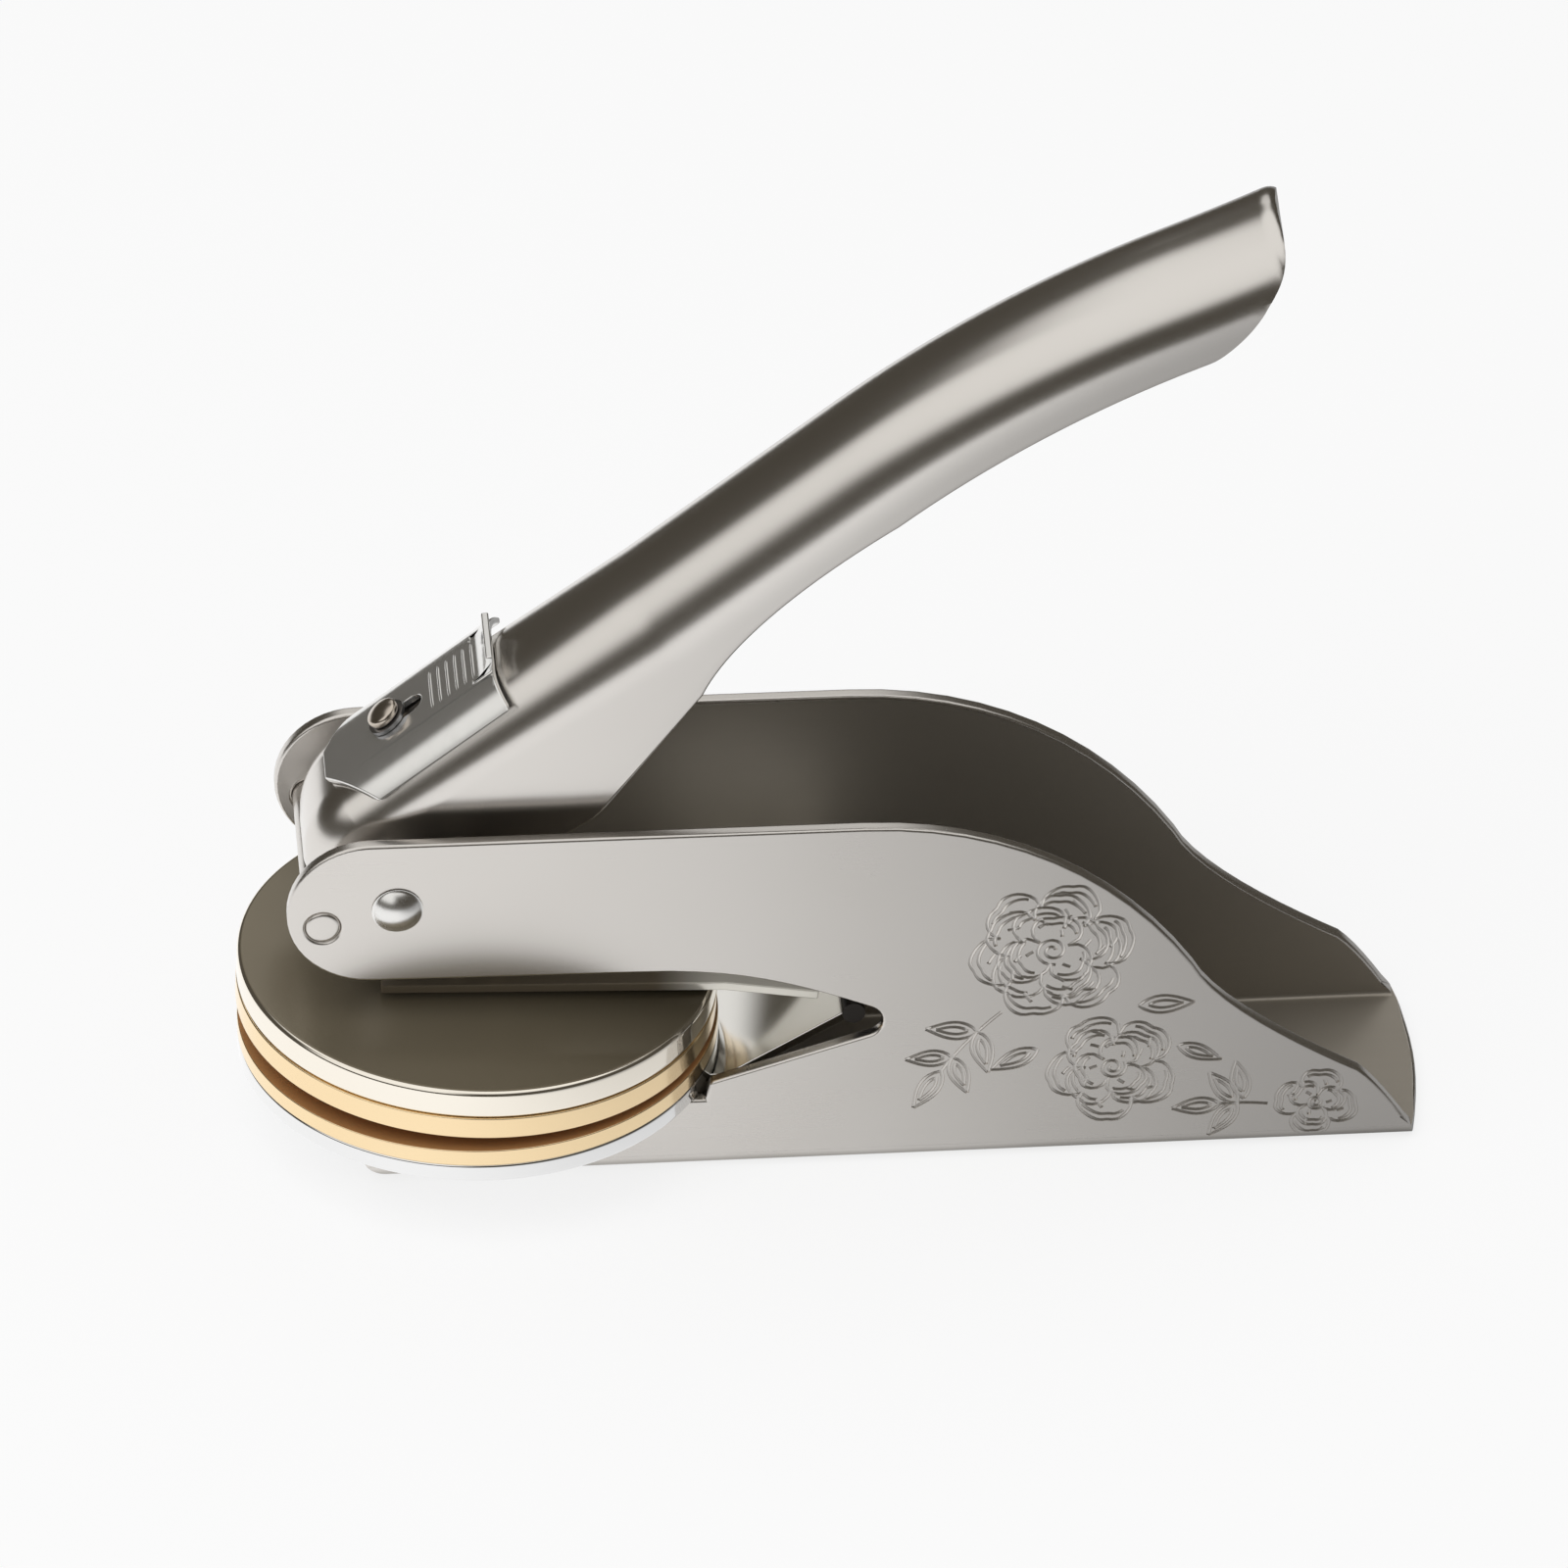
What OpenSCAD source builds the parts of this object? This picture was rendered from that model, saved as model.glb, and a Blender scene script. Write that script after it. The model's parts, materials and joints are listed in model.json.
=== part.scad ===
// Desk seal embosser: a folded steel channel frame with an open jaw, a pair of
// round dies on a leaf clip, and a long pressed-steel lever with a sliding lock.
// Millimetres. The die axis is X = 0, Y = 0, the desk is Z = 0, and the lever's
// grip and the frame's toe point towards +X.

/* [Frame] */
// Outer width of the folded channel
frame_w = 25; // [23:0.5:28]
// Thickness of the frame's sheet steel
sheet_t = 1.5; // [1.2:0.1:1.8]
// Outside radius of the two floor bends
bend_r = 2; // [1.8:0.1:4]
// Distance from the die axis to the front of the upper jaw
jaw_reach = 20.3; // [18:0.1:24]
// Height of the middle of the upper jaw's round nose
arm_z = 34.45; // [33:0.05:36]
// Radius of the upper jaw's round nose, half the jaw's depth
nose_r = 8.55; // [7.5:0.05:9]
// Distance from the die axis to the front of the lower jaw
lower_jaw_reach = 13; // [10:0.5:18]
// Distance from the die axis to the rear edge of the side walls
wall_reach = 96.4; // [94:0.2:104]
// How far the floor's rounded rear edge stands past the walls
toe_bulge = 1.4; // [0.6:0.1:3]
// Distance from the die axis to the middle of the throat's closed end
throat_reach = 39.4; // [36:0.2:44]
// Radius of the throat's closed end
throat_r = 1.9; // [1.5:0.1:2.4]

/* [Dies] */
// Diameter of the die plates and dies
die_d = 50; // [40:1:54]
// Height of the lower die plate's underside above the desk
die_seat_z = 8.8; // [8:0.1:10]
// Thickness of the lower backing plate
lower_plate_t = 2.1; // [1.8:0.1:3]
// Thickness of the lower brass die
lower_die_t = 1.85; // [1.7:0.05:3]
// Angle that the upper die opens about the clip pin
die_open = 2.2; // [1.8:0.05:2.4]
// Space left for the paper between the closed dies
paper_gap = 0.15; // [0.15:0.05:0.4]
// Thickness of the upper brass die
upper_die_t = 2.45; // [1.7:0.05:3]
// Thickness of the upper backing plate
upper_plate_t = 3.3; // [2.6:0.1:4]
// Width of the chamfer round the two backing plates
plate_chamfer = 0.4; // [0.2:0.05:0.6]
// Diameter of the two stems that carry the die plates
stem_d = 6.7; // [5:0.1:8]
// Diameter of the collars that the two leaves rest on
collar_d = 12; // [10:0.5:14]

/* [Leaf clip] */
// Thickness of the leaf clip's spring steel
leaf_t = 1; // [0.6:0.1:1.2]
// Width of the leaf clip
leaf_w = 16; // [12:0.5:18]
// Height of the collar, from the upper plate to the leaf
collar_h = 0.4; // [0.3:0.1:1]
// How far the leaf reaches in front of the die axis
leaf_reach = 10.5; // [9:0.5:14]

/* [Lever] */
// Distance from the die axis forward to the lever's pivot
pivot_x = 8.9; // [8:0.1:10]
// Height of the lever's pivot
pivot_z = 34.9; // [34:0.1:36]
// Slope of the open lever above level
lever_slope = 39; // [34:1:42]
// Gap between each of the lever's cheeks and the frame's wall
cheek_gap = 2.5; // [1.5:0.1:3.2]
// Thickness of the lever's sheet steel
lever_t = 1.2; // [0.8:0.1:1.4]
// Distance from the pivot up to the lever's crest
crest_h = 10.9; // [10.5:0.1:12]
// Width of the flat along the handle's crest
crest_flat = 0.2; // [0.2:0.1:4]
// Radius of the rounded edges along the crest at the lever's front
front_crown_r = 5.2; // [4:0.1:6]
// Distance along the lever from the pivot to where the grip starts to curve
grip_start = 67.5; // [64:0.5:76]
// Radius of the grip's curve along the crest
grip_r = 138; // [120:2:160]
// Angle that the grip's curve turns through
grip_turn = 21.8; // [18:0.2:24]
// Depth of the lever's skirt at the grip
skirt_d = 10.4; // [9.8:0.2:12]
// Height of the outward flare at the grip's tip
tip_flare = 1; // [0:0.1:1.4]
// Radius of the lever's folded-down front along the crest
front_r = 10; // [9:0.5:12]
// Diameter of the pivot's shaft
pivot_d = 4; // [3:0.1:4.6]
// Diameter of the pivot's domed heads
pivot_head_d = 5.3; // [5:0.1:6.5]
// Height of the pivot's domed heads
pivot_head_h = 1.4; // [1:0.1:2]
// Diameter of the cross pin that the open lever rests on
stop_pin_d = 3.7; // [3:0.1:4]

/* [Press cam] */
// Width of the cam between the return spring's two coils
cam_w = 8; // [6:0.5:9]
// Distance of the cam's middle from the pivot
cam_throw = 3.45; // [3:0.05:4]
// Height of the stem's press button under the cam
button_z = 27.9; // [27.5:0.1:28.3]
// Diameter of the rivet that fixes the cam in the lever
cam_rivet_d = 3; // [2.4:0.1:3.4]

/* [Return spring] */
// Diameter of the return spring's wire
spring_wire_d = 0.8; // [0.6:0.1:1]
// Mean diameter of the return spring's coils
spring_d = 5.6; // [5.4:0.1:6.4]
// Whole turns in each coil of the return spring
spring_turns = 3; // [2:1:3]

/* [Lock] */
// Length of the sliding lock plate along the lever
lock_len = 22.2; // [20.5:0.1:24]
// Thickness of the lock plate
lock_t = 0.8; // [0.6:0.1:1]
// Distance along the lever from the pivot to the lock plate's nose
lock_front = 0.8; // [0:0.1:2]
// Travel of the lock plate towards the front
lock_travel = 3; // [2:0.5:4]
// Height of the curled-up thumb tab
lock_tab_h = 1.8; // [1.2:0.1:3]
// Width of the thumb tab
lock_tab_w = 8; // [6:0.5:10]
// Diameter of the lock stud's head
lock_head_d = 3.6; // [3.2:0.1:4.4]
// Diameter of the lock stud's shank
lock_shank_d = 2; // [1.6:0.1:2.4]

/* [Hidden] */

$fn = 96;
run_gap = 0.05;      // radial clearance of a pin that turns
seat_gap = 0.3;      // clearance between pieces that move past each other
wall_in = frame_w / 2 - sheet_t;
lever_w = 2 * (wall_in - cheek_gap);
crown_r = (lever_w - crest_flat) / 2;

steel = [0.72, 0.70, 0.67];
chrome = [0.85, 0.86, 0.87];
brass = [0.83, 0.68, 0.42];
spring_steel = [0.55, 0.55, 0.56];

// Heights of the die stack with the dies closed, from the lower plate upwards
lower_die_z = die_seat_z + lower_plate_t;
upper_die_z = lower_die_z + lower_die_t + paper_gap;
upper_plate_z = upper_die_z + upper_die_t;
plate_top_z = upper_plate_z + upper_plate_t;
leaf_z = plate_top_z + collar_h;

function arc(c, r, a0, a1, n) =
    [for (i = [0:n]) c + r * [cos(a0 + (a1 - a0) * i / n), sin(a0 + (a1 - a0) * i / n)]];

function curve(p0, p1, p2, p3, n) =
    [for (i = [0:n]) let (t = i / n, s = 1 - t)
        s * s * s * p0 + 3 * s * s * t * p1 + 3 * s * t * t * p2 + t * t * t * p3];

// Outline of a strip of thickness t whose upper face follows the points p
function strip(p, t) =
    let (n = len(p) - 1,
         dir = [for (i = [0:n]) let (d = p[min(i + 1, n)] - p[max(i - 1, 0)]) d / norm(d)])
    concat(p, [for (i = [n:-1:0]) p[i] + t * [dir[i][1], -dir[i][0]]]);

// A side outline in X and Z, made w wide and centred on Y = 0
module across(w) {
    rotate([90, 0, 0])
        linear_extrude(height = w, center = true)
            children();
}

// A section in Y and Z, drawn out along X from x0 to x1
module along(x0, x1) {
    translate([x0, 0, 0])
        rotate([90, 0, 90])
            linear_extrude(height = x1 - x0)
                children();
}

module cross_pin(x, z, d, length) {
    translate([x, length / 2, z])
        rotate([90, 0, 0])
            cylinder(d = d, h = length);
}

// The lever's own frame: origin at the pivot, X along the lever, Z towards its crest
module at_lever() {
    translate([-pivot_x, 0, pivot_z])
        rotate([0, -lever_slope, 0])
            children();
}

// A low dome on the plane Z = 0
module dome(d, h) {
    ball_r = (d * d / 4 + h * h) / (2 * h);
    rotate_extrude()
        intersection() {
            translate([0, h - ball_r]) circle(r = ball_r);
            square([d, h]);
        }
}

/* ---- Frame ---- */

nose_x = -jaw_reach + nose_r;
arm_top_z = arm_z + nose_r;
arm_under_z = arm_z - nose_r;
throat_z = 18.1;                       // height of the throat's closed end
throat_open_x = throat_reach - 20;     // where the throat starts to narrow
jaw_step = [[die_d / 2 - 2.1, die_seat_z], [die_d / 2 - 1.6, die_seat_z + 2.2]];  // shoulder behind the dies
shoulder_x = throat_reach;             // where the walls start to drop to the toe

instep_top = [wall_reach - 22.9, 23.7];
toe_top = [wall_reach - 5.6, 9.3];
shoulder = curve([shoulder_x, arm_top_z - 0.3], [wall_reach - 42.4, arm_top_z - 0.3],
                 [wall_reach - 30.4, 35.4], instep_top, 12);
instep = curve(instep_top, [wall_reach - 20.6, 18.7], [wall_reach - 11.9, 12.9], toe_top, 10);
toe = curve(toe_top, [wall_reach - 3.8, 7.7], [wall_reach - 1.8, 4.6], [wall_reach, sheet_t + 0.1], 6);
throat_roof = curve([throat_open_x, arm_under_z - 0.5], [throat_open_x + 9, arm_under_z - 0.8],
                    [throat_reach - 4.4, 22],
                    [throat_reach, throat_z] + throat_r * [cos(65), sin(65)], 10);
throat_floor = [throat_reach, throat_z] + throat_r * [cos(-72), sin(-72)];

module frame_outline() {
    jaw_r = 4;
    polygon(concat(
        arc([jaw_r - lower_jaw_reach, jaw_r], jaw_r, 270, 180, 8),
        arc([2 - lower_jaw_reach, die_seat_z - 2], 2, 180, 90, 5),
        jaw_step,
        [throat_floor],
        arc([throat_reach, throat_z], throat_r, -72, 65, 10),
        [for (i = [9:-1:0]) throat_roof[i]],
        arc([nose_x, arm_z], nose_r, 270, 90, 24),
        shoulder,
        [for (i = [1:10]) instep[i]],
        [for (i = [1:6]) toe[i]],
        [[wall_reach, sheet_t], [wall_reach + toe_bulge, sheet_t], [wall_reach + toe_bulge, 0]]));
}

module channel_section(w, z0, r) {
    translate([-w / 2, z0 + r]) square([w, 60]);
    translate([r - w / 2, z0]) square([w - 2 * r, 2 * r]);
    for (side = [-1, 1])
        translate([side * (w / 2 - r), z0 + r]) circle(r = r);
}

module frame() {
    toe_r = (frame_w * frame_w / 4 + toe_bulge * toe_bulge) / (2 * toe_bulge);
    toe_x = wall_reach + toe_bulge;
    color(steel)
    difference() {
        intersection() {
            across(frame_w + 2) frame_outline();
            along(-jaw_reach - 1, toe_x + 1)
                difference() {
                    channel_section(frame_w, 0, bend_r);
                    channel_section(frame_w - 2 * sheet_t, sheet_t, bend_r - sheet_t);
                }
            linear_extrude(height = 60)
                union() {
                    translate([-jaw_reach - 1, -frame_w]) square([jaw_reach + 1 + toe_x - toe_r / 2, 2 * frame_w]);
                    translate([toe_x - toe_r, 0]) circle(r = toe_r);
                }
        }
        cross_pin(-pivot_x, pivot_z, pivot_d, frame_w + 2);
        cross_pin(stop_x, stop_z, stop_pin_d, frame_w + 2);
        translate([0, 0, -1]) cylinder(d = spigot_d, h = sheet_t + 2);
    }
}

/* ---- Pivot and stop ---- */

stop_x = -jaw_reach + 3.7;
stop_z = arm_z - 1.55;

module pivot_rivet() {
    color(chrome)
    union() {
        cross_pin(-pivot_x, pivot_z, pivot_d, frame_w);
        for (side = [-1, 1])
            translate([-pivot_x, side * frame_w / 2, pivot_z])
                rotate([-side * 90, 0, 0])
                    dome(pivot_head_d, pivot_head_h);
    }
}

module pivot_washers() {
    washer_t = cheek_gap - 0.1;
    color(chrome)
    for (side = [-1, 1])
        translate([-pivot_x, side * (wall_in - washer_t / 2), pivot_z])
            rotate([90, 0, 0])
                difference() {
                    cylinder(d = pivot_d + 4.4, h = washer_t, center = true);
                    cylinder(d = pivot_d + 0.1, h = washer_t + 1, center = true);
                }
}

module stop_pin() {
    color(steel) cross_pin(stop_x, stop_z, stop_pin_d, frame_w);
}

/* ---- Lever ---- */

// The lever is a lofted shell. A station is [point on the crest, direction into
// the channel, point on the lower edge, radius of the crown], in the lever's frame.
front_s = 1.8;                                   // where the crest folds down in front
front_turn = 90 - lever_slope;
front_c = [front_s, crest_h - front_r];
fold_end = front_c + front_r * polar(90 + front_turn);
stop_from_pivot = [stop_x + pivot_x, stop_z - pivot_z];
stop_in_lever = [stop_from_pivot * polar(lever_slope), stop_from_pivot * polar(lever_slope + 90)];
// Straight length of the front below its fold, down to the stop pin
front_drop = (stop_in_lever - fold_end) * polar(180 + front_turn) - stop_pin_d / 2 - seat_gap;
boss_r = pivot_d / 2 + 3.5;                      // cheek round the pivot
grip_c = [grip_start, crest_h - grip_r];
heel = [21.4, crest_h - 18];                     // rear corner of the cheeks
skirt_start = [39, crest_h - 13.4];
crown_full_s = 40;                               // where the crown's radius is fully grown
end_turn = grip_turn - 5;                        // where the skirt starts to round up at the tip

function polar(a) = [cos(a), sin(a)];
function line(p, q, n) = [for (i = [1:n]) p + (q - p) * i / n];

// The crown's radius grows from the front fold to the grip
function crown_at(s) =
    front_crown_r + (crown_r - front_crown_r) * min(1, max(0, (s - front_s) / (crown_full_s - front_s)));

function fold_stations() =
    let (out = 90 + front_turn, steps = 8)
    concat(
        [[front_c + front_r * polar(out) + front_drop * polar(out + 90), -polar(out),
          front_c + (front_r - front_crown_r - 0.2) * polar(out) + front_drop * polar(out + 90),
          front_crown_r]],
        [for (i = [0:steps]) let (a = out - front_turn * i / steps)
            [front_c + front_r * polar(a), -polar(a), boss_r * polar(165 + 120 * i / steps), front_crown_r]]);

function straight_stations() =
    [for (e = concat(line(boss_r * polar(285), heel, 3), line(heel, skirt_start, 4),
                     curve(skirt_start, [skirt_start[0] + 6.5, crest_h - 10], [grip_start - 11, crest_h - 9.5],
                           [grip_start, crest_h - skirt_d], 7)))
        [[e[0], crest_h], [0, -1], e, crown_at(e[0])]];

function grip_station(a, depth, flare) =
    let (out = [sin(a), cos(a)])
    [grip_c + (grip_r + flare) * out, -out, grip_c + (grip_r - depth) * out, crown_r];

function grip_stations() =
    concat(
        [for (i = [1:8]) grip_station(end_turn * i / 8, skirt_d, 0)],
        [for (i = [1:6]) let (t = i / 6)
            grip_station(end_turn + (grip_turn - end_turn) * sin(90 * t),
                         crown_r + 0.6 + (skirt_d - crown_r - 0.6) * cos(90 * t), tip_flare * t * t)]);

lever_stations = concat(fold_stations(), straight_stations(), grip_stations());

// Points of a station's section on one skin, inset by t from the outside
function skin(q, t) =
    let (w = lever_w / 2, r = q[3], steps = 5,
         side = concat([[q[2], w - t]],
                       [for (k = [0:steps]) let (a = 90 * k / steps)
                           [q[0] + (r - (r - t) * sin(a)) * q[1], w - r + (r - t) * cos(a)]]))
    concat([for (p = side) [p[0][0], -p[1], p[0][1]]],
           [for (k = [len(side) - 1:-1:0]) [side[k][0][0], side[k][1], side[k][0][1]]]);

module lever_shell() {
    rings = [for (q = lever_stations) concat(skin(q, 0), [for (p = skin(q, lever_t)) [p[0], -p[1], p[2]]])];
    n = len(rings[0]);
    last = len(rings) - 1;
    half = n / 2;
    polyhedron(
        points = [for (ring = rings) for (p = ring) p],
        faces = concat(
            [for (k = [0:half - 2]) [k, k + 1, n - 2 - k, n - 1 - k]],
            [for (i = [0:last - 1]) for (k = [0:n - 1])
                for (f = [[i * n + k, (i + 1) * n + k, (i + 1) * n + (k + 1) % n],
                          [i * n + k, (i + 1) * n + (k + 1) % n, i * n + (k + 1) % n]]) f],
            [for (k = [0:half - 2])
                [last * n + n - 1 - k, last * n + n - 2 - k, last * n + k + 1, last * n + k]]),
        convexity = 6);
}

module lever() {
    color(steel)
    difference() {
        at_lever() lever_shell();
        cross_pin(-pivot_x, pivot_z, pivot_d + 2 * run_gap, frame_w);
        at_lever() {
            cross_pin(cam_rivet_s, cam_rivet_h, cam_rivet_d, frame_w);
            translate([stud_s, 0, crest_h - 4]) cylinder(d = lock_shank_d, h = 6);
            translate([post_places[0] - lock_travel - post_d / 2 - seat_gap, -post_d / 2 - seat_gap, crest_h - 3])
                cube([post_places[1] - post_places[0] + lock_travel + post_d + 2 * seat_gap,
                      post_d + 2 * seat_gap, 6]);
        }
    }
}

/* ---- Press cam, turning with the lever ---- */

// At rest the cam's middle lies ahead of its low point by half the lever's
// travel, so the button drops evenly with the lever.
cam_lead = 12;
cam_c = [-pivot_x + cam_throw * cos(cam_lead), pivot_z + cam_throw * sin(cam_lead)];
cam_r = cam_c[1] - button_z - run_gap;
cam_rivet_s = 7.6;
cam_rivet_h = -1.2;

module press_cam() {
    color(spring_steel)
    difference() {
        cross_pin(cam_c[0], cam_c[1], 2 * cam_r, cam_w);
        cross_pin(-pivot_x, pivot_z, pivot_d + 2 * run_gap, frame_w);
        at_lever() cross_pin(cam_rivet_s, cam_rivet_h, cam_rivet_d, frame_w);
    }
}

module cam_rivet() {
    color(chrome)
    at_lever()
        union() {
            cross_pin(cam_rivet_s, cam_rivet_h, cam_rivet_d, lever_w);
            for (side = [-1, 1])
                translate([cam_rivet_s, side * lever_w / 2, cam_rivet_h])
                    rotate([-side * 90, 0, 0])
                        dome(cam_rivet_d + 1.6, 0.6);
        }
}

/* ---- Return spring ---- */

// Wire of diameter d swept along the points p with a round section of n sides
module wire(p, d, n) {
    last = len(p) - 1;
    side = [0, 1, 0];
    tangent = [for (i = [0:last]) let (t = p[min(i + 1, last)] - p[max(i - 1, 0)]) t / norm(t)];
    flat = [for (i = [0:last]) let (v = side - (side * tangent[i]) * tangent[i]) v / norm(v)];
    rise = [for (i = [0:last]) cross(tangent[i], flat[i])];
    polyhedron(
        points = [for (i = [0:last]) for (k = [0:n - 1])
                     p[i] + d / 2 * (cos(360 * k / n) * flat[i] + sin(360 * k / n) * rise[i])],
        faces = concat(
            [[for (k = [0:n - 1]) k]],
            [for (i = [0:last - 1]) for (k = [0:n - 1])
                [i * n + k, (i + 1) * n + k, (i + 1) * n + (k + 1) % n, i * n + (k + 1) % n]],
            [[for (k = [n - 1:-1:0]) last * n + k]]));
}

module return_spring() {
    r = spring_d / 2;
    steps = 20;
    pitch = spring_wire_d * 1.05;
    inner_y = cam_w / 2 + spring_wire_d / 2 + 0.15;
    rear_a = 8;          // leg under the cam rivet
    front_a = 196;       // leg against the stop pin
    turn = 360 * (spring_turns - 1) + front_a - rear_a;
    count = round(steps * turn / 360);
    coil = [for (i = [0:count]) let (a = rear_a + turn * i / count)
               [r * sin(a), inner_y + pitch * turn / 360 * i / count, -r * cos(a)]];
    rear_leg = [for (k = [3:-1:1]) coil[0] + k * 2 * [-cos(rear_a), 0, -sin(rear_a)]];
    front_leg = [for (k = [1:2]) coil[count] + k * 2 * [cos(front_a), 0, sin(front_a)]];
    color(spring_steel)
    for (side = [0, 1])
        mirror([0, side, 0])
            translate([-pivot_x, 0, pivot_z])
                wire(concat(rear_leg, coil, front_leg), spring_wire_d, 6);
}

/* ---- Sliding lock ---- */

// Section of a crowned strip, with its crest on the X axis and its depth along -Y
module crown_half(w, r, d) {
    translate([-w / 2, -d]) square([w, d - r]);
    translate([r - w / 2, -d]) square([w - 2 * r, d]);
    intersection() {
        for (side = [-1, 1])
            translate([side * (w / 2 - r), -r]) circle(r = r);
        translate([-w / 2, -r]) square([w, r]);
    }
}

stud_s = lock_front + 8.8;
post_d = 1.6;
foot_s = stud_s + lock_shank_d / 2 + 0.7 + lock_travel + seat_gap;   // front of the foot under the crest
foot_w = 4.6;
foot_t = 1;
foot_gap = 0.2;          // gap between the foot and the crest's inner face
foot_edge = 1.8;         // from the foot's ends to the middle of its posts
post_places = [foot_s + foot_edge, foot_s + foot_edge + 3.8];
lock_rise = 0.15;        // gap between the lock plate and the lever
lock_drop = 1.6;         // how far the lock plate wraps down over the crown

module lock_outline() {
    nose = 5.8;
    corner = 1.5;
    half = lever_w / 2 + lock_t;
    tip = 2.2;
    polygon(concat(
        [[lock_front, -tip], [lock_front + nose, -half]],
        arc([lock_front + lock_len - corner, corner - half], corner, -90, 0, 4),
        arc([lock_front + lock_len - corner, half - corner], corner, 0, 90, 4),
        [[lock_front + nose, half], [lock_front, tip]]));
}

// Thumb tab: the middle of the plate's rear edge, curled up
module lock_tab() {
    curl_turn = 62;
    curl_r = lock_tab_h / (1 - cos(curl_turn));
    steps = 6;
    translate([lock_front + lock_len - 1.4, 0, crest_h + lock_rise])
        across(lock_tab_w)
            polygon(strip([for (i = [0:steps]) let (a = curl_turn * i / steps)
                              [curl_r * sin(a) - 1, lock_t + curl_r * (1 - cos(a))]], lock_t));
}

module lock_plate() {
    color(chrome)
    at_lever()
        difference() {
            union() {
                intersection() {
                    translate([0, 0, crest_h + lock_rise + lock_t])
                        along(lock_front - 1, lock_front + lock_len + 1)
                            difference() {
                                crown_half(lever_w + 2 * (lock_t + lock_rise),
                                           front_crown_r + lock_t + lock_rise, crown_r + lock_t);
                                translate([0, -lock_t])
                                    crown_half(lever_w + 2 * lock_rise, front_crown_r + lock_rise,
                                               crown_r + lock_t + 1);
                            }
                    linear_extrude(height = 80, center = true) lock_outline();
                    translate([-10, -lever_w, crest_h - lock_drop])
                        cube([60, 2 * lever_w, 20]);
                }
                lock_tab();
            }
            for (s = [stud_s, stud_s + lock_travel])
                translate([s, 0, crest_h - 1]) cylinder(d = lock_shank_d + 0.4, h = 5);
            translate([stud_s, -lock_shank_d / 2 - 0.2, crest_h - 1])
                cube([lock_travel, lock_shank_d + 0.4, 5]);
        }
}

module lock_stud() {
    shank = lever_t + lock_t + 0.75;
    color(chrome)
    at_lever()
        translate([stud_s, 0, crest_h - lever_t])
            union() {
                cylinder(d = lock_shank_d, h = shank);
                translate([0, 0, -0.6]) cylinder(d = lock_shank_d + 1.4, h = 0.6);
                translate([0, 0, shank]) cylinder(d = lock_head_d, h = 0.8);
                translate([0, 0, shank + 0.8]) dome(lock_head_d, 0.5);
            }
}

module lock_washer() {
    color(spring_steel)
    at_lever()
        translate([stud_s, 0, crest_h + lock_rise + lock_t + 0.1])
            difference() {
                cylinder(d = lock_head_d + 0.8, h = 0.4);
                translate([0, 0, -1]) cylinder(d = lock_shank_d + 0.1, h = 3);
            }
}

// Foot under the crest that holds the lock plate to the lever
module lock_foot() {
    color(spring_steel)
    at_lever()
        translate([foot_s, -foot_w / 2, crest_h - lever_t - foot_gap - foot_t])
            cube([post_places[1] + foot_edge - foot_s, foot_w, foot_t]);
}

module lock_posts() {
    color(chrome)
    at_lever()
        for (s = post_places)
            translate([s, 0, crest_h - lever_t - foot_gap])
                cylinder(d = post_d, h = lever_t + foot_gap + lock_rise);
}

/* ---- Leaf clip ---- */

clip_pin_d = 2.4;
clip_pin_x = throat_reach - 1;
clip_pin_z = throat_z;

module leaf(outline) {
    across(leaf_w) polygon(outline);
}

// Opens the upper die and what moves with it about the clip pin, from closed to rest
module opened() {
    translate([clip_pin_x, 0, clip_pin_z])
        rotate([0, die_open, 0])
            translate([-clip_pin_x, 0, -clip_pin_z])
                children();
}

// Upper leaf: moves with the upper die
module upper_leaf() {
    rear_x = clip_pin_x - 3.4;
    color(steel)
    opened()
        difference() {
            leaf(strip([[rear_x, leaf_z + leaf_t - 1.3], [die_d / 2 + 0.2, leaf_z + leaf_t],
                        [-leaf_reach, leaf_z + leaf_t]], -leaf_t));
            cylinder(d = stem_d, h = 60);
        }
}

// Lower leaf and the bend round the clip pin, fixed to the frame
module leaf_clip() {
    bend = clip_pin_d / 2 + run_gap;
    color(steel)
    difference() {
        leaf(strip(concat([[-leaf_reach, die_seat_z], [die_d / 2 + 0.4, die_seat_z]],
                          arc([clip_pin_x, clip_pin_z], bend, -60, 118, 12)), leaf_t));
        cylinder(d = stem_d, h = 60);
    }
}

module clip_pin() {
    color(chrome) cross_pin(clip_pin_x, clip_pin_z, clip_pin_d, 2 * (wall_in - run_gap));
}

/* ---- Die stack ---- */

module disc(z, h, chamfer) {
    translate([0, 0, z])
        rotate_extrude($fn = 180)
            polygon([[0, 0], [die_d / 2 - chamfer, 0], [die_d / 2, chamfer], [die_d / 2, h - chamfer],
                     [die_d / 2 - chamfer, h], [0, h]]);
}

spigot_d = 5;            // end of the lower stem, riveted flush in the floor
die_screw_r = 17;
die_screw_d = 2.5;
screw_l = 3;
screw_sink = 0.2;        // depth of the screws' heads below the dies' faces
stem_seat = 1;           // metal left under the upper stem's seat in its plate

module die_screw_places() {
    for (a = [45:90:315])
        rotate(a) translate([die_screw_r, 0, 0]) children();
}

// The upper stem's top, the press button, with the dies closed
closed_button_z = clip_pin_z + (button_z - clip_pin_z - clip_pin_x * sin(die_open)) / cos(die_open);

module upper_stem() {
    color(chrome)
    opened()
        translate([0, 0, upper_plate_z + stem_seat])
            cylinder(d = stem_d, h = closed_button_z - upper_plate_z - stem_seat);
}

module upper_collar() {
    color(steel)
    opened()
        difference() {
            translate([0, 0, plate_top_z]) cylinder(d = collar_d, h = collar_h);
            cylinder(d = stem_d, h = 60);
        }
}

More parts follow.
